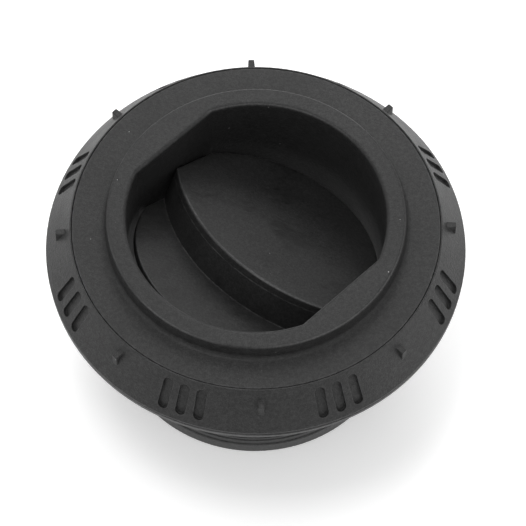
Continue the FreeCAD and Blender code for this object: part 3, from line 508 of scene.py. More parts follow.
class RimLine(Effect):
    """Thin broken pale line along an edge: partly rubbed wear, partly painted highlight."""

    CORE = 0.35                 # share of the width that is full, before it fades out
    CRUMB_SCALE = 2400.0
    CRUMB_ENDS = (0.3, 0.62, 0.35, 1.0)
    STRETCH_SCALE = 48.0
    STRETCH_ENDS = (0.42, 0.62, 0.1, 1.0)

    def fill(self, graph: Graph, given: Sockets) -> Sockets:
        """Draw the line and break it up.

        Args:
            graph: the group's graph.
            given: Offset, the distance to the edge, and the Width and Amount of the line.

        Returns:
            Mask of the line.
        """
        core = graph.math("MULTIPLY", given["Width"], self.CORE)
        near = graph.span(given["Offset"], core, given["Width"], 1.0, 0.0)
        where = graph.place()
        crumbs = graph.noise(where, self.CRUMB_SCALE, detail=3.0, roughness=0.6)
        broken = graph.span(crumbs, *self.CRUMB_ENDS)
        stretches = graph.noise(where, self.STRETCH_SCALE, detail=2.0, roughness=0.5)
        stretch = graph.span(stretches, *self.STRETCH_ENDS)
        # pale rim line: partly rubbed wear, partly painted highlight
        line = graph.math("MULTIPLY", graph.math("MULTIPLY", near, broken), stretch)
        return {"Mask": graph.math("MULTIPLY", line, given["Amount"])}


SPARK_GRAIN = SparkGrain("spark_grain", {"Size": 0.35 * MM},
                         {"Height": SocketKind.VALUE, "Tone": SocketKind.VALUE})
EDGE_WEAR_AND_HIGHLIGHT = EdgeWearAndHighlight("edge_wear_and_highlight", {"Width": 0.22 * MM, "Amount": 1.0},
                     {"Mask": SocketKind.VALUE, "Normal": SocketKind.NORMAL})
DUST_SPECKS = DustSpecks("dust_specks", {"Spacing": 2.6 * MM, "Radius": 0.13 * MM, "Share": 0.10},
                         {"Mask": SocketKind.VALUE})
RUB_MARKS = RubMarks("rub_marks", {"Size": 7.0 * MM, "Amount": 1.0},
                     {"Smudge": SocketKind.VALUE, "Scratch": SocketKind.VALUE})
RIM_LINE = RimLine("rim_line", {"Offset": 1.0, "Width": 0.26 * MM, "Amount": 1.0},
                   {"Mask": SocketKind.VALUE})
MOULD_FLOW = MouldFlow("mould_flow", {"Size": 14.0 * MM}, {"Tone": SocketKind.VALUE})


# ---------------------------------------------------------------------------- finishes


def new_material(name: str) -> tuple[bpy.types.Material, Graph, bpy.types.Node]:
    """Make an empty node material.

    Args:
        name: the material's name.

    Returns:
        The material, its graph and its Principled shader, already joined to the output.
    """
    material = bpy.data.materials.new(name)
    material.use_nodes = True
    material.node_tree.nodes.clear()
    graph = Graph(material.node_tree)
    shader = graph.add("ShaderNodeBsdfPrincipled")
    graph.join(shader.outputs["BSDF"], graph.add("ShaderNodeOutputMaterial").inputs["Surface"])
    return material, graph, shader


@dataclass(frozen=True)
class PieceAxes:
    """A piece's own axes, set in the row frame by a place, a heading about Z and a tilt about Y.

    Attributes:
        place: the axes' origin.
        heading: turn about Z, in radians.
        tilt: turn about the turned Y axis, in radians.
    """

    place: Triple = (0.0, 0.0, 0.0)
    heading: float = 0.0
    tilt: float = 0.0

    def matrix(self) -> Matrix:
        """Return the transform from these axes to the row frame."""
        turn = Matrix.Rotation(self.heading, 4, "Z") @ Matrix.Rotation(self.tilt, 4, "Y")
        return Matrix.Translation(self.place) @ turn

    def seen_from(self, graph: Graph) -> bpy.types.NodeSocket:
        """Return the object coordinate as these axes see it.

        Args:
            graph: the material's graph.

        Returns:
            The coordinate's socket.
        """
        node = graph.add("ShaderNodeMapping", vector_type="TEXTURE")
        graph.feed(node, Vector=graph.place(), Location=self.place, Rotation=(0.0, self.tilt, self.heading))
        return node.outputs["Vector"]


def hinge_axes(name: str) -> PieceAxes:
    """Return the axes of a flap at rest: Y along its hinge, level where the hinge's range starts.

    Args:
        name: the joint's name.

    Returns:
        The axes, with their origin on the hinge.
    """
    hinge = next(joint for joint in frame["joints"] if joint["name"] == name)
    across, along, _ = hinge["axis"]
    return PieceAxes(tuple(hinge["pos_m"]), math.atan2(-across, along), -math.radians(hinge["range_deg"][0]))


# axes of the flap and of the well's flats, and places on the mouldings that the details follow
FLAP_AXES = hinge_axes("flap_tilt")
TURNED_AXES = PieceAxes(heading=FLAP_AXES.heading)
LINER_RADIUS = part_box("end_ring")[1].x
END_RING_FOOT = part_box("end_ring")[0].z
COLLAR_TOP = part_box("turntable")[1].z


@dataclass(frozen=True)
class RoundRim:
    """Edge along an arc in a level plane of the piece's own axes.

    Attributes:
        radius: the arc's radius.
        height: the arc's height.
        centre: where the arc's centre stands on X.
    """

    radius: float
    height: float
    centre: float = 0.0

    def offset(self, graph: Graph, where: bpy.types.NodeSocket) -> bpy.types.NodeSocket:
        """Return the distance from the edge.

        Args:
            graph: the material's graph.
            where: the coordinate in the piece's own axes.

        Returns:
            The distance's socket.
        """
        axes = graph.axes(where)
        ahead = graph.math("SUBTRACT", axes["X"], self.centre)
        reach = graph.hypotenuse(ahead, axes["Y"])
        return graph.hypotenuse(graph.math("SUBTRACT", reach, self.radius),
                                graph.math("SUBTRACT", axes["Z"], self.height))


@dataclass(frozen=True)
class StraightRims:
    """Two straight edges on both sides of the X axis of the piece's own axes.

    Attributes:
        side: how far each edge stands from the X axis.
        height: the edges' height.
        reach: half of each edge's length.
    """

    side: float
    height: float
    reach: float

    def offset(self, graph: Graph, where: bpy.types.NodeSocket) -> bpy.types.NodeSocket:
        """Return the distance from the nearer edge.

        Args:
            graph: the material's graph.
            where: the coordinate in the piece's own axes.

        Returns:
            The distance's socket.
        """
        axes = graph.axes(where)
        across = graph.math("SUBTRACT", graph.math("ABSOLUTE", axes["Y"]), self.side)
        past_end = graph.math("SUBTRACT", graph.math("ABSOLUTE", axes["X"]), self.reach)
        beyond = graph.math("MAXIMUM", past_end, 0.0)
        level = graph.math("SUBTRACT", axes["Z"], self.height)
        return graph.hypotenuse(graph.hypotenuse(across, level), beyond)


@dataclass(frozen=True)
class MouldedPlastic:
    """Black moulded plastic with a spark grain.

    Attributes:
        name: the material's name.
        shade: linear grey of the plain surface.
        roughness: roughness of the plain surface, about the middle of its range.
        specular: level of the shader's reflection.
        grain: width of one grain.
        depth: height of the grain.
        wear: strength of the pale line along edges and rims, partly rubbed wear and partly painted highlight.
        specks: share of cells that hold a dust fleck.
        rub: strength of smudges and drag marks.
        rub_centre: where they are strongest, in the piece's own axes.
        edge: width of the pale line along edges.
        axes: the axes that the rims are given in.
        rims: edges that get a thin pale line, partly rubbed wear and partly painted highlight.
    """

    name: str
    shade: float = 0.030
    roughness: float = 0.52
    specular: float = 0.5
    grain: float = 0.42 * MM
    depth: float = 0.045 * MM
    wear: float = 0.55
    specks: float = 0.10
    rub: float = 0.0
    rub_centre: Triple = (0.0, 0.0, 0.0)
    edge: float = 0.3 * MM
    axes: PieceAxes = PieceAxes()
    rims: tuple[RoundRim | StraightRims, ...] = ()

    # tones of the flow, the grain, the pale edges, the rims (both partly rubbed wear, partly painted
    # highlight) and the marks, as multiples of the shade
    FLOW_TONES = (0.86, 1.12)
    GRAIN_TONE = 2.6
    EDGE_TONE = 6.0
    RIM_TONE = 6.5
    SMUDGE_TONE = 0.35
    SCRATCH_TONE = 0.15
    DUST = grey(0.42)
    SMUDGE_COVER = 0.55
    SMUDGE_ROUGHNESS = 0.10
    FLOW_ROUGHNESS = 0.08
    SMOOTHEST = 0.05            # how far the smoothest patches lie below the roughness
    RUB_ENDS = (3.0 * MM, 12.0 * MM, 1.0, 0.4)      # full near the centre, weaker further out

    def tone(self, factor: float) -> Colour:
        """Return the plain surface's grey times a factor."""
        return grey(self.shade * factor)

    def rimmed(self, graph: Graph, colour: bpy.types.NodeSocket) -> bpy.types.NodeSocket:
        """Draw the pale line along each rim, partly rubbed wear and partly painted highlight.

        Args:
            graph: the material's graph.
            colour: the surface's colour so far.

        Returns:
            The colour with the lines on it.
        """
        for rim in self.rims:
            offset = rim.offset(graph, self.axes.seen_from(graph))
            line = RIM_LINE.use(graph, Offset=offset, Amount=self.wear)
            colour = graph.blend(line["Mask"], colour, self.tone(self.RIM_TONE))
        return colour

    def rubbed(self, graph: Graph, colour: bpy.types.NodeSocket,
               rough: bpy.types.NodeSocket) -> tuple[bpy.types.NodeSocket, bpy.types.NodeSocket]:
        """Lay the smudges and drag marks on the surface.

        Args:
            graph: the material's graph.
            colour: the surface's colour so far.
            rough: its roughness so far.

        Returns:
            The colour and the roughness with the marks.
        """
        reach = graph.reach(self.axes.seen_from(graph), self.rub_centre)
        amount = graph.math("MULTIPLY", graph.span(reach, *self.RUB_ENDS), self.rub)
        marks = RUB_MARKS.use(graph, Amount=amount)
        cover = graph.math("MULTIPLY", marks["Smudge"], self.SMUDGE_COVER)
        colour = graph.blend(cover, colour, self.tone(self.SMUDGE_TONE))
        colour = graph.blend(marks["Scratch"], colour, self.tone(self.SCRATCH_TONE))
        extra = graph.math("MULTIPLY", marks["Smudge"], self.SMUDGE_ROUGHNESS)
        return colour, graph.math("ADD", rough, extra)

    def material(self) -> bpy.types.Material:
        """Make the material from the shared effects.

        Returns:
            The finished material.
        """
        material, graph, shader = new_material(self.name)
        grain = SPARK_GRAIN.use(graph, Size=self.grain)
        edge = EDGE_WEAR_AND_HIGHLIGHT.use(graph, Amount=self.wear, Width=self.edge)
        flow = MOULD_FLOW.use(graph)
        specks = DUST_SPECKS.use(graph, Share=self.specks)
        dark, pale = (self.tone(factor) for factor in self.FLOW_TONES)
        toned = graph.blend(flow["Tone"], dark, pale)
        grained = graph.blend(grain["Tone"], toned, self.tone(self.GRAIN_TONE))
        # pale edge line: partly rubbed wear, partly painted highlight
        colour = graph.blend(edge["Mask"], grained, self.tone(self.EDGE_TONE))
        colour = self.rimmed(graph, colour)
        rough = graph.math("ADD", self.roughness - self.SMOOTHEST,
                           graph.math("MULTIPLY", flow["Tone"], self.FLOW_ROUGHNESS))
        if self.rub > 0.0:
            colour, rough = self.rubbed(graph, colour, rough)
        colour = graph.blend(specks["Mask"], colour, self.DUST)
        normal = graph.bump(grain["Height"], self.depth, edge["Normal"])
        graph.feed(shader, Base_Color=colour, Roughness=rough, Normal=normal,
                   Specular_IOR_Level=self.specular)
        return material


@dataclass(frozen=True)
class Rubber:
    """Matte black rubber with a faint bloom.

    Attributes:
        name: the material's name.
        shade: linear grey of the plain surface.
        roughness: roughness between the grains.
        specular: level of the shader's reflection.
        grain: width of one grain.
        depth: height of the grain.
        bloom: width of a patch of the bloom.
        wear: strength of the rubbed line along edges.
    """

    name: str
    shade: float = 0.018
    roughness: float = 0.78
    specular: float = 0.35
    grain: float = 0.22 * MM
    depth: float = 0.012 * MM
    bloom: float = 5.0 * MM
    wear: float = 0.35

    BLOOM_TONE = 1.9
    BLOOM_WARMTH = 0.03
    EDGE_TONE = 3.0
    GRAIN_ROUGHNESS = 0.14

    def material(self) -> bpy.types.Material:
        """Make the material from the shared effects.

        Returns:
            The finished material.
        """
        material, graph, shader = new_material(self.name)
        grain = SPARK_GRAIN.use(graph, Size=self.grain)
        edge = EDGE_WEAR_AND_HIGHLIGHT.use(graph, Amount=self.wear)
        bloom = MOULD_FLOW.use(graph, Size=self.bloom)
        bloomed = grey(self.shade * self.BLOOM_TONE, self.BLOOM_WARMTH)
        colour = graph.blend(bloom["Tone"], grey(self.shade), bloomed)
        colour = graph.blend(edge["Mask"], colour, grey(self.shade * self.EDGE_TONE))
        rough = graph.math("ADD", self.roughness,
                           graph.math("MULTIPLY", grain["Tone"], self.GRAIN_ROUGHNESS))
        normal = graph.bump(grain["Height"], self.depth, edge["Normal"])
        graph.feed(shader, Base_Color=colour, Roughness=rough, Normal=normal,
                   Specular_IOR_Level=self.specular)
        return material


@dataclass(frozen=True)
class NaturalAcetal:
    """Natural acetal: milky white, smooth, slightly clouded.

    Attributes:
        name: the material's name.
        tint: linear colour of the plain surface.
        roughness: roughness of its smoothest patches.
        grain: width of one grain.
        depth: height of the grain.
        cloud: width of one cloud.
        wear: strength of the rubbed line along edges.
        edge: width of that line.
    """

    name: str
    tint: Colour = (0.72, 0.71, 0.66)
    roughness: float = 0.34
    grain: float = 0.15 * MM
    depth: float = 0.003 * MM
    cloud: float = 3.0 * MM
    wear: float = 0.2
    edge: float = 0.08 * MM

    CLOUD_TONE = 0.88
    CLOUD_ROUGHNESS = 0.1
    EDGE_COLOUR = grey(0.82)

    def material(self) -> bpy.types.Material:
        """Make the material from the shared effects.

        Returns:
            The finished material.
        """
        material, graph, shader = new_material(self.name)
        cloud = MOULD_FLOW.use(graph, Size=self.cloud)
        grain = SPARK_GRAIN.use(graph, Size=self.grain)
        edge = EDGE_WEAR_AND_HIGHLIGHT.use(graph, Amount=self.wear, Width=self.edge)
        deep = tuple(self.CLOUD_TONE * level for level in self.tint)
        colour = graph.blend(cloud["Tone"], deep, self.tint)
        colour = graph.blend(edge["Mask"], colour, self.EDGE_COLOUR)
        rough = graph.math("ADD", self.roughness,
                           graph.math("MULTIPLY", cloud["Tone"], self.CLOUD_ROUGHNESS))
        normal = graph.bump(grain["Height"], self.depth, edge["Normal"])
        graph.feed(shader, Base_Color=colour, Roughness=rough, Normal=normal)
        return material


@dataclass(frozen=True)
class PressedFibre:
    """Pressed fibre of a friction washer: brown with pale and dark flecks.

    Attributes:
        name: the material's name.
        tint: linear colour of the plain surface.
        roughness: roughness of its smoothest strands.
        depth: height of the strands.
        wear: strength of the rubbed line along edges.
        edge: width of that line.
    """

    name: str
    tint: Colour = (0.16, 0.10, 0.06)
    roughness: float = 0.7
    depth: float = 0.02 * MM
    wear: float = 0.5
    edge: float = 0.1 * MM

    STRAND_STRETCH = (1.0, 3.0, 1.0)
    STRAND_TURN = (0.0, 0.0, 0.4)
    STRAND_SCALE = 2600.0
    STRAND_ENDS = (0.4, 0.62)
    STRAND_ROUGHNESS = 0.2
    PALE_TONE = 1.9

    def material(self) -> bpy.types.Material:
        """Make the material from the shared effects.

        Returns:
            The finished material.
        """
        material, graph, shader = new_material(self.name)
        along = graph.stretched(graph.place(), self.STRAND_STRETCH, self.STRAND_TURN)
        strands = graph.noise(along, self.STRAND_SCALE, detail=4.0, roughness=0.7)
        edge = EDGE_WEAR_AND_HIGHLIGHT.use(graph, Amount=self.wear, Width=self.edge)
        pale = tuple(min(1.0, self.PALE_TONE * level) for level in self.tint)
        colour = graph.blend(graph.span(strands, *self.STRAND_ENDS), self.tint, pale)
        colour = graph.blend(edge["Mask"], colour, pale)
        rough = graph.math("ADD", self.roughness, graph.math("MULTIPLY", strands, self.STRAND_ROUGHNESS))
        normal = graph.bump(strands, self.depth, edge["Normal"])
        graph.feed(shader, Base_Color=colour, Roughness=rough, Normal=normal)
        return material


@dataclass(frozen=True)
class ZincPlate:
    """Zinc-plated steel: fine turning lines, a grey bloom and brighter edges.

    Attributes:
        name: the material's name.
        shade: linear grey of the bright metal.
        roughness: roughness of its brightest patches.
        depth: height of the turning lines.
        bloom: width of a patch of the bloom.
        wear: strength of the rubbed line along edges.
        edge: width of that line.
    """

    name: str
    shade: float = 0.52
    roughness: float = 0.24
    depth: float = 0.002 * MM
    bloom: float = 1.2 * MM
    wear: float = 0.8
    edge: float = 0.07 * MM

    LINE_STRETCH = (0.3, 0.3, 4.0)
    LINE_SCALE = 5200.0
    BLOOM_TONE = 0.72
    BLOOM_WARMTH = 0.01
    BRIGHT_WARMTH = -0.015
    BLOOM_ROUGHNESS = 0.2
    EDGE_COLOUR = grey(0.72)

    def material(self) -> bpy.types.Material:
        """Make the material from the shared effects.

        Returns:
            The finished material.
        """
        material, graph, shader = new_material(self.name)
        bloom = MOULD_FLOW.use(graph, Size=self.bloom)
        edge = EDGE_WEAR_AND_HIGHLIGHT.use(graph, Amount=self.wear, Width=self.edge)
        along = graph.stretched(graph.place(), self.LINE_STRETCH)
        lines = graph.noise(along, self.LINE_SCALE, detail=2.0, roughness=0.5)
        bloomed = grey(self.shade * self.BLOOM_TONE, self.BLOOM_WARMTH)
        colour = graph.blend(bloom["Tone"], bloomed, grey(self.shade, self.BRIGHT_WARMTH))
        colour = graph.blend(edge["Mask"], colour, self.EDGE_COLOUR)
        rough = graph.math("ADD", self.roughness,
                           graph.math("MULTIPLY", bloom["Tone"], self.BLOOM_ROUGHNESS))
        normal = graph.bump(lines, self.depth, edge["Normal"])
        graph.feed(shader, Base_Color=colour, Roughness=rough, Metallic=1.0, Normal=normal)
        return material


Finish = MouldedPlastic | Rubber | NaturalAcetal | PressedFibre | ZincPlate


class Finishes:
    """The object's finishes, each made once and shared by its pieces."""

    RING = MouldedPlastic("ring_plastic", shade=0.0125, roughness=0.5, specular=0.28,
                          wear=0.5, specks=0.09)
    # the collar's and the well's rims get a wide pale line, partly rubbed wear and partly painted highlight
    DISC = MouldedPlastic("turntable_plastic", shade=0.0105, roughness=0.56, specular=0.31,
                          wear=0.8, specks=0.26, edge=0.7 * MM, axes=TURNED_AXES,
                          rims=(RoundRim(radius=30.05 * MM, height=COLLAR_TOP - 0.15 * MM),
                                RoundRim(radius=26.5 * MM, height=COLLAR_TOP - 0.26 * MM),
                                StraightRims(side=24.31 * MM, height=COLLAR_TOP - 0.26 * MM,
                                             reach=10.5 * MM)))
    LINER = MouldedPlastic("liner_plastic", shade=0.020, roughness=0.5, grain=0.28 * MM,
                           depth=0.010 * MM, wear=0.45, specks=0.03)
    # the step lip gets a pale line, partly rubbed wear and partly painted highlight
    FLAP = MouldedPlastic("flap_plastic", shade=0.012, roughness=0.5, specular=0.34,
                          grain=0.3 * MM, depth=0.016 * MM, wear=0.7, specks=0.05,
                          rub=1.6, rub_centre=(4.0 * MM, 3.0 * MM, 4.9 * MM), edge=0.6 * MM,
                          axes=FLAP_AXES,
                          rims=(RoundRim(radius=35.27 * MM, height=4.74 * MM, centre=21.41 * MM),))
    RUBBER = Rubber("seal_rubber")
    ACETAL = NaturalAcetal("natural_acetal")
    FIBRE = PressedFibre("brake_fibre")
    STEEL = ZincPlate("zinc_plate")

    _made: dict[str, bpy.types.Material] = {}

    @classmethod
    def get(cls, finish: Finish) -> bpy.types.Material:
        """Make a finish's material at the first call.

        Args:
            finish: the finish.

        Returns:
            The material, the same one at each call.
        """
        if finish.name not in cls._made:
            cls._made[finish.name] = finish.material()
        return cls._made[finish.name]


# ---------------------------------------------------------------------------- sub-assemblies


def dress_node(name: str, finish: Finish) -> None:
    """Give a carried-over CAD node its finish.

    Args:
        name: the node's name.
        finish: the finish for all its faces.
    """
    node = frame["nodes"][name]
    material = Finishes.get(finish)
    for slot in node.material_slots:
        slot.material = material
    log.info("dressed %s in %s", name, finish.name)


@dataclass
class SubAssembly:
    """Pieces that ride on one body.

    Attributes:
        body: the CAD body's name.
        slot: the name of a material slot; not used.
        finishes: each CAD node's finish.
    """

    body: str
    slot: str
    finishes: dict[str, Finish]

    def build(self) -> list[bpy.types.Object]:
        """Build the sub-assembly's own pieces; the plain one has none."""
        return []

    def dress(self) -> None:
        """Give every CAD node of the sub-assembly its finish."""
        for name, finish in self.finishes.items():
            dress_node(name, finish)

    def make(self) -> None:
        """Build and dress the sub-assembly and set its pieces riding on its body."""
        for piece in self.build():
            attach(piece, self.body)
            log.info("built %s on %s", piece.name, self.body)
        self.dress()


def new_piece(name: str, points: list[Vector], faces: list[tuple[int, ...]],
              finish: Finish) -> bpy.types.Object:
    """Make a mesh piece with smooth faces and its finish.

    Args:
        name: the piece's name.
        points: its corner points.
        faces: the corners of each face, by index.
        finish: the finish for all its faces.

    Returns:
        The new object.
    """
    mesh = bpy.data.meshes.new(name)
    mesh.from_pydata([point[:] for point in points], [], faces)
    mesh.update()
    mesh.shade_smooth()
    mesh.materials.append(Finishes.get(finish))
    piece = bpy.data.objects.new(name, mesh)
    bpy.context.scene.collection.objects.link(piece)
    return piece


def band_faces(rows: int, columns: int, closed: bool) -> list[tuple[int, ...]]:
    """List the faces of a strip of points that are numbered row by row.

    Args:
        rows: the number of rows.
        columns: the points in each row.
        closed: join the last row to the first.

    Returns:
        The corners of each face, by index.
    """
    faces = []
    for row in range(rows if closed else rows - 1):
        below = row * columns
        above = (row + 1) % rows * columns
        for column in range(columns - 1):
            faces.append((below + column, below + column + 1, above + column + 1, above + column))
    return faces


@dataclass(frozen=True)
class WitnessRing:
    """Low round-backed ring that an ejector pin leaves on a moulding.

    Attributes:
        radius: radius of the pin.
        width: width of the bead.
        height: height of the bead.
        steps: points round the ring.
        arcs: points across the bead.
    """

    radius: float = 1.5 * MM
    width: float = 0.14 * MM
    height: float = 0.05 * MM
    steps: int = 48
    arcs: int = 7

    def build(self, name: str, to_place: Matrix, finish: Finish) -> bpy.types.Object:
        """Make the ring with its back along the placement's +Z.

        Args:
            name: the piece's name.
            to_place: from the ring's own axes to the row frame.
            finish: the moulding's finish.

        Returns:
            The new object.
        """
        points = []
        for step in range(self.steps):
            around = 2.0 * math.pi * step / self.steps
            for arc in range(self.arcs):
                across = math.pi * arc / (self.arcs - 1)
                reach = self.radius + 0.5 * self.width * math.cos(across)
                points.append(to_place @ Vector((reach * math.cos(around), reach * math.sin(around),
                                                 self.height * math.sin(across))))
        return new_piece(name, points, band_faces(self.steps, self.arcs, True), finish)


@dataclass(frozen=True)
class PartingLine:
    """Fine upright ridge where two mould halves met on a round wall.

    Attributes:
        radius: radius of the wall.
        foot: height of the ridge's lower end.
        top: height of its upper end.
        width: width of the ridge.
        height: how far it stands out.
        steps: points along the ridge.
        arcs: points across it.
        run_out: share of the length over which each end fades into the wall.
    """

    radius: float
    foot: float
    top: float
    width: float = 0.16 * MM
    height: float = 0.04 * MM
    steps: int = 12
    arcs: int = 7
    run_out: float = 1.0 / 6.0

    def build(self, name: str, heading: float, finish: Finish) -> bpy.types.Object:
        """Make the ridge at a heading about the Z axis.

        Args:
            name: the piece's name.
            heading: angle from +X, in radians.
            finish: the moulding's finish.

        Returns:
            The new object.
        """
        points = []
        for step in range(self.steps):
            share = step / (self.steps - 1)
            taper = min(1.0, share / self.run_out, (1.0 - share) / self.run_out)
            for arc in range(self.arcs):
                across = math.pi * arc / (self.arcs - 1)
                angle = heading - 0.5 * self.width * math.cos(across) / self.radius
                reach = self.radius + self.height * taper * math.sin(across)
                points.append(Vector((reach * math.cos(angle), reach * math.sin(angle),
                                      self.foot + share * (self.top - self.foot))))
        return new_piece(name, points, band_faces(self.steps, self.arcs, False), finish)


def numbered(stem: str, count: int) -> list[str]:
    """Return the names stem_1 to stem_count."""
    return [f"{stem}_{number}" for number in range(1, count + 1)]


def sided(stem: str) -> list[str]:
    """Return the names of a left and right pair."""
    return [f"{stem}_left", f"{stem}_right"]


@dataclass
class Housing(SubAssembly):
    """Skirt ring, liner, end ring, gasket and their screws, which stay put in the desk.

    Attributes:
        band_line: parting line on the liner's plain band.
        end_line: parting line on the end ring.
        line_heading: where both lines stand, in radians; a second pair stands opposite.
    """

    body: str = "housing"
    slot: str = "liner_plastic"
    finishes: dict[str, Finish] = field(default_factory=lambda: {
        "skirt_ring": Finishes.RING,
        "liner_sleeve": Finishes.LINER,
        "end_ring": Finishes.LINER,
        "desk_gasket": Finishes.RUBBER,
        "glide_ring": Finishes.ACETAL,
        **dict.fromkeys(numbered("ring_screw", 4), Finishes.STEEL),
    })
    band_line: PartingLine = PartingLine(radius=LINER_RADIUS, foot=-6.0 * MM, top=0.0)
    end_line: PartingLine = PartingLine(radius=LINER_RADIUS, foot=END_RING_FOOT + 0.4 * MM,
                                        top=END_RING_FOOT + 3.0 * MM)
    line_heading: float = math.radians(22.5)

    def build(self) -> list[bpy.types.Object]:
        """Build the parting lines on both sides of the liner's plain band and the end ring.

        Returns:
            The four lines.
        """
        pieces = []
        for number, heading in enumerate((self.line_heading, self.line_heading + math.pi), start=1):
            for stem, line in (("band", self.band_line), ("end", self.end_line)):
                pieces.append(line.build(f"{stem}_parting_line_{number}", heading, Finishes.LINER))
        return pieces


@dataclass
class Turntable(SubAssembly):
    """Disc with the raised collar and the well, its clip, washer, stops and bushes."""

    body: str = "turntable"
    slot: str = "shell_plastic"
    finishes: dict[str, Finish] = field(default_factory=lambda: {
        "turntable": Finishes.DISC,
        "retaining_clip": Finishes.STEEL,
        "brake_washer": Finishes.FIBRE,
        **dict.fromkeys(sided("stop_pad"), Finishes.RUBBER),
        **dict.fromkeys(sided("pivot_bush"), Finishes.ACETAL),
    })


@dataclass
class Flap(SubAssembly):
    """Two-level flap with its cover, pins, O-rings and screws.

    Attributes:
        underside: height of the flap plate's lower face in the flap's own axes.
        witness: ring that each ejector pin leaves.
        witness_spots: where the pins stood, in millimetres in the flap's own axes.
    """

    body: str = "flap"
    slot: str = "flap_plastic"
    finishes: dict[str, Finish] = field(default_factory=lambda: {
        "flap_plate": Finishes.FLAP,
        "flap_cover": Finishes.FLAP,
        **dict.fromkeys(numbered("cover_screw", 3), Finishes.STEEL),
        **dict.fromkeys(sided("pivot_pin"), Finishes.STEEL),
        **dict.fromkeys(sided("pivot_o_ring"), Finishes.RUBBER),
    })
    underside: float = -5.96 * MM
    witness: WitnessRing = WitnessRing()
    witness_spots: tuple[tuple[float, float], ...] = ((-19.0, 0.0), (-10.0, 13.0), (-10.0, -13.0),
                                                       (3.0, 19.0), (3.0, -19.0), (18.5, 0.0))

    def build(self) -> list[bpy.types.Object]:
        """Build the ejector pins' witness rings under the flap plate.

        Returns:
            The rings.
        """
        facing_down = Matrix.Rotation(math.pi, 4, "X")
        pieces = []
        for number, (x, y) in enumerate(self.witness_spots, start=1):
            spot = Matrix.Translation((x * MM, y * MM, self.underside))
            to_place = FLAP_AXES.matrix() @ spot @ facing_down
            pieces.append(self.witness.build(f"flap_witness_ring_{number}", to_place, Finishes.FLAP))
        return pieces


# ---------------------------------------------------------------------------- studio


@dataclass(frozen=True)
class SoftLight:
    """Square soft light that faces the object.

    Attributes:
        name: the light's name.
        where: its place.
        size: its side.
        power: its power in watts.
    """

    name: str
    where: Triple
    size: float
    power: float

    def hang(self) -> None:
        """Add the light to the scene, out of the camera's sight."""
        lamp = bpy.data.lights.new(self.name, "AREA")
        lamp.shape = "SQUARE"
        lamp.size = self.size
        lamp.energy = self.power
        thing = bpy.data.objects.new(self.name, lamp)
        thing.location = self.where
        thing.visible_camera = False
        thing.rotation_mode = "QUATERNION"
        thing.rotation_quaternion = (-Vector(self.where)).to_track_quat("-Z", "Y")
        bpy.context.scene.collection.objects.link(thing)


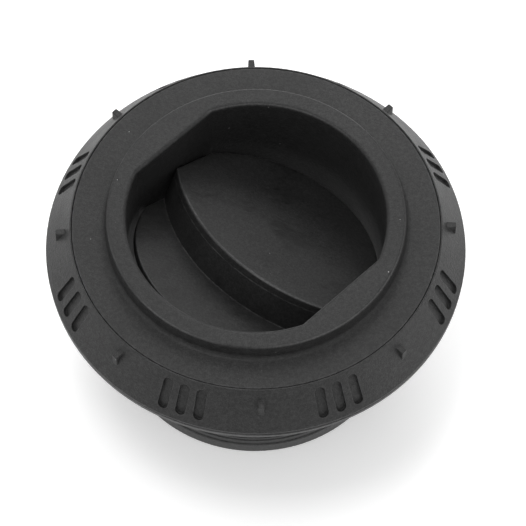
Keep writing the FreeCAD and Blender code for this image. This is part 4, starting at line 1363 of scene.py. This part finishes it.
@dataclass
class Studio:
    """Pale floor, soft lights and the camera.

    Attributes:
        floor_half: half of the floor's width.
        floor_gap: how far the floor lies below the object.
        floor_glow: light that the floor itself gives, like a lit white table.
        floor_greys: the floor's darkest and palest linear grey.
        floor_patches: patches of the floor's tone for each metre.
        floor_ends: noise values at which the floor is darkest and palest.
        floor_roughness: roughness of the darkest patches.
        pale_roughness: how much rougher the palest patches are.
        front_room: brightness of the surroundings in front of the object.
        back_room: brightness of the surroundings behind it.
        room_ends: Y of the directions at which the surroundings reach those.
        lights: the soft lights.
        elevation: the camera's height above the horizon, in degrees.
        azimuth: how far the camera stands round from -Y, in degrees.
        roll: the camera's tilt about its own axis, in degrees.
        distance: from the aim to the camera.
        aim: the point the camera's axis passes, before the shift of framing.
        shift: the framing's offset to the camera's right and up.
        lens: focal length in millimetres.
        sensor: width of the camera's sensor in millimetres.
        clip: nearest and farthest distance that the camera sees.
    """

    floor_half: float = 3.0
    floor_gap: float = 0.05 * MM
    floor_glow: float = 0.3
    floor_greys: tuple[float, float] = (0.93, 0.95)
    floor_patches: float = 9.0
    floor_ends: tuple[float, float] = (0.3, 0.7)
    floor_roughness: float = 0.75
    pale_roughness: float = 0.1
    front_room: float = 0.64
    back_room: float = 0.83
    room_ends: tuple[float, float] = (-0.95, 0.2)
    lights: tuple[SoftLight, ...] = (
        SoftLight("top_softbox", where=(-0.2, 0.0, 1.1), size=0.35, power=3.4),
        SoftLight("back_softbox", where=(0.04, 0.34, 0.30), size=0.2, power=0.72),
        SoftLight("left_lamp", where=(-0.75, -0.38, 0.10), size=0.3, power=0.4),
        SoftLight("right_lamp", where=(0.75, -0.38, 0.10), size=0.3, power=1.1),
    )
    elevation: float = 60.89
    azimuth: float = -2.4
    roll: float = 1.04
    distance: float = 0.602
    aim: Triple = (0.0, 0.0, 0.0027)
    shift: tuple[float, float] = (0.001462, -0.003612)
    lens: float = 200.9
    sensor: float = 36.0
    clip: tuple[float, float] = (0.01, 20.0)

    def clear(self) -> None:
        """Remove whatever Blender opened with."""
        kept = {*frame["nodes"].values(), *frame["bodies"].values()}
        for thing in list(bpy.context.scene.objects):
            if thing not in kept:
                bpy.data.objects.remove(thing, do_unlink=True)

    def build_floor(self) -> None:
        """Lay the pale floor just under the end ring's foot."""
        foot = END_RING_FOOT - self.floor_gap
        mesh = bpy.data.meshes.new("floor")
        shape = bmesh.new()
        bmesh.ops.create_grid(shape, x_segments=1, y_segments=1, size=self.floor_half)
        shape.to_mesh(mesh)
        shape.free()
        floor = bpy.data.objects.new("floor", mesh)
        floor.location.z = foot
        bpy.context.scene.collection.objects.link(floor)
        material, graph, shader = new_material("pale_floor")
        patches = graph.noise(graph.place(), self.floor_patches, detail=3.0, roughness=0.5)
        tone = graph.span(patches, *self.floor_ends)
        dark, pale = (grey(level) for level in self.floor_greys)
        colour = graph.blend(tone, dark, pale)
        rough = graph.math("ADD", self.floor_roughness, graph.math("MULTIPLY", tone, self.pale_roughness))
        graph.feed(shader, Base_Color=colour, Roughness=rough,
                   Emission_Color=colour, Emission_Strength=self.floor_glow)
        mesh.materials.append(material)

    def build_lights(self) -> None:
        """Hang the soft lights and set the pale surroundings."""
        for light in self.lights:
            light.hang()
        world = bpy.data.worlds.new("pale_room")
        world.use_nodes = True
        graph = Graph(world.node_tree)
        along = graph.axes(graph.place_around())["Y"]
        strength = graph.span(along, *self.room_ends, self.front_room, self.back_room)
        background = world.node_tree.nodes["Background"]
        graph.feed(background, Color=grey(1.0), Strength=strength)
        bpy.context.scene.world = world
        bpy.context.scene.view_settings.view_transform = "Standard"

    def build_camera(self) -> None:
        """Set the camera at its angle, distance and framing."""
        lift = math.radians(self.elevation)
        turn = Matrix.Rotation(math.radians(self.azimuth), 3, "Z")
        ahead = turn @ Vector((0.0, math.cos(lift), -math.sin(lift)))
        level_right = turn @ Vector((1.0, 0.0, 0.0))
        level_up = level_right.cross(ahead)
        lean = math.radians(self.roll)
        right = level_right * math.cos(lean) + level_up * math.sin(lean)
        up = level_up * math.cos(lean) - level_right * math.sin(lean)
        lens = bpy.data.cameras.new("camera")
        lens.lens = self.lens
        lens.sensor_width = self.sensor
        lens.clip_start, lens.clip_end = self.clip
        camera = bpy.data.objects.new("camera", lens)
        place = Vector(self.aim) - ahead * self.distance + right * self.shift[0] + up * self.shift[1]
        axes = Matrix((right, up, -ahead)).transposed().to_4x4()
        camera.matrix_world = Matrix.Translation(place) @ axes
        bpy.context.scene.collection.objects.link(camera)
        bpy.context.scene.camera = camera

    def make(self) -> None:
        """Build the floor, the lights and the camera."""
        self.build_floor()
        self.build_lights()
        self.build_camera()
        log.info("built the studio")


# ---------------------------------------------------------------------------- order of work


def main() -> None:
    """Build the studio and the sub-assemblies."""
    logging.basicConfig(level=logging.INFO, format="%(name)s: %(message)s")
    studio = Studio()
    studio.clear()
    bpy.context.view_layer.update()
    studio.make()
    for assembly in (Housing(), Turntable(), Flap()):
        assembly.make()


if __name__ == "__main__":
    main()
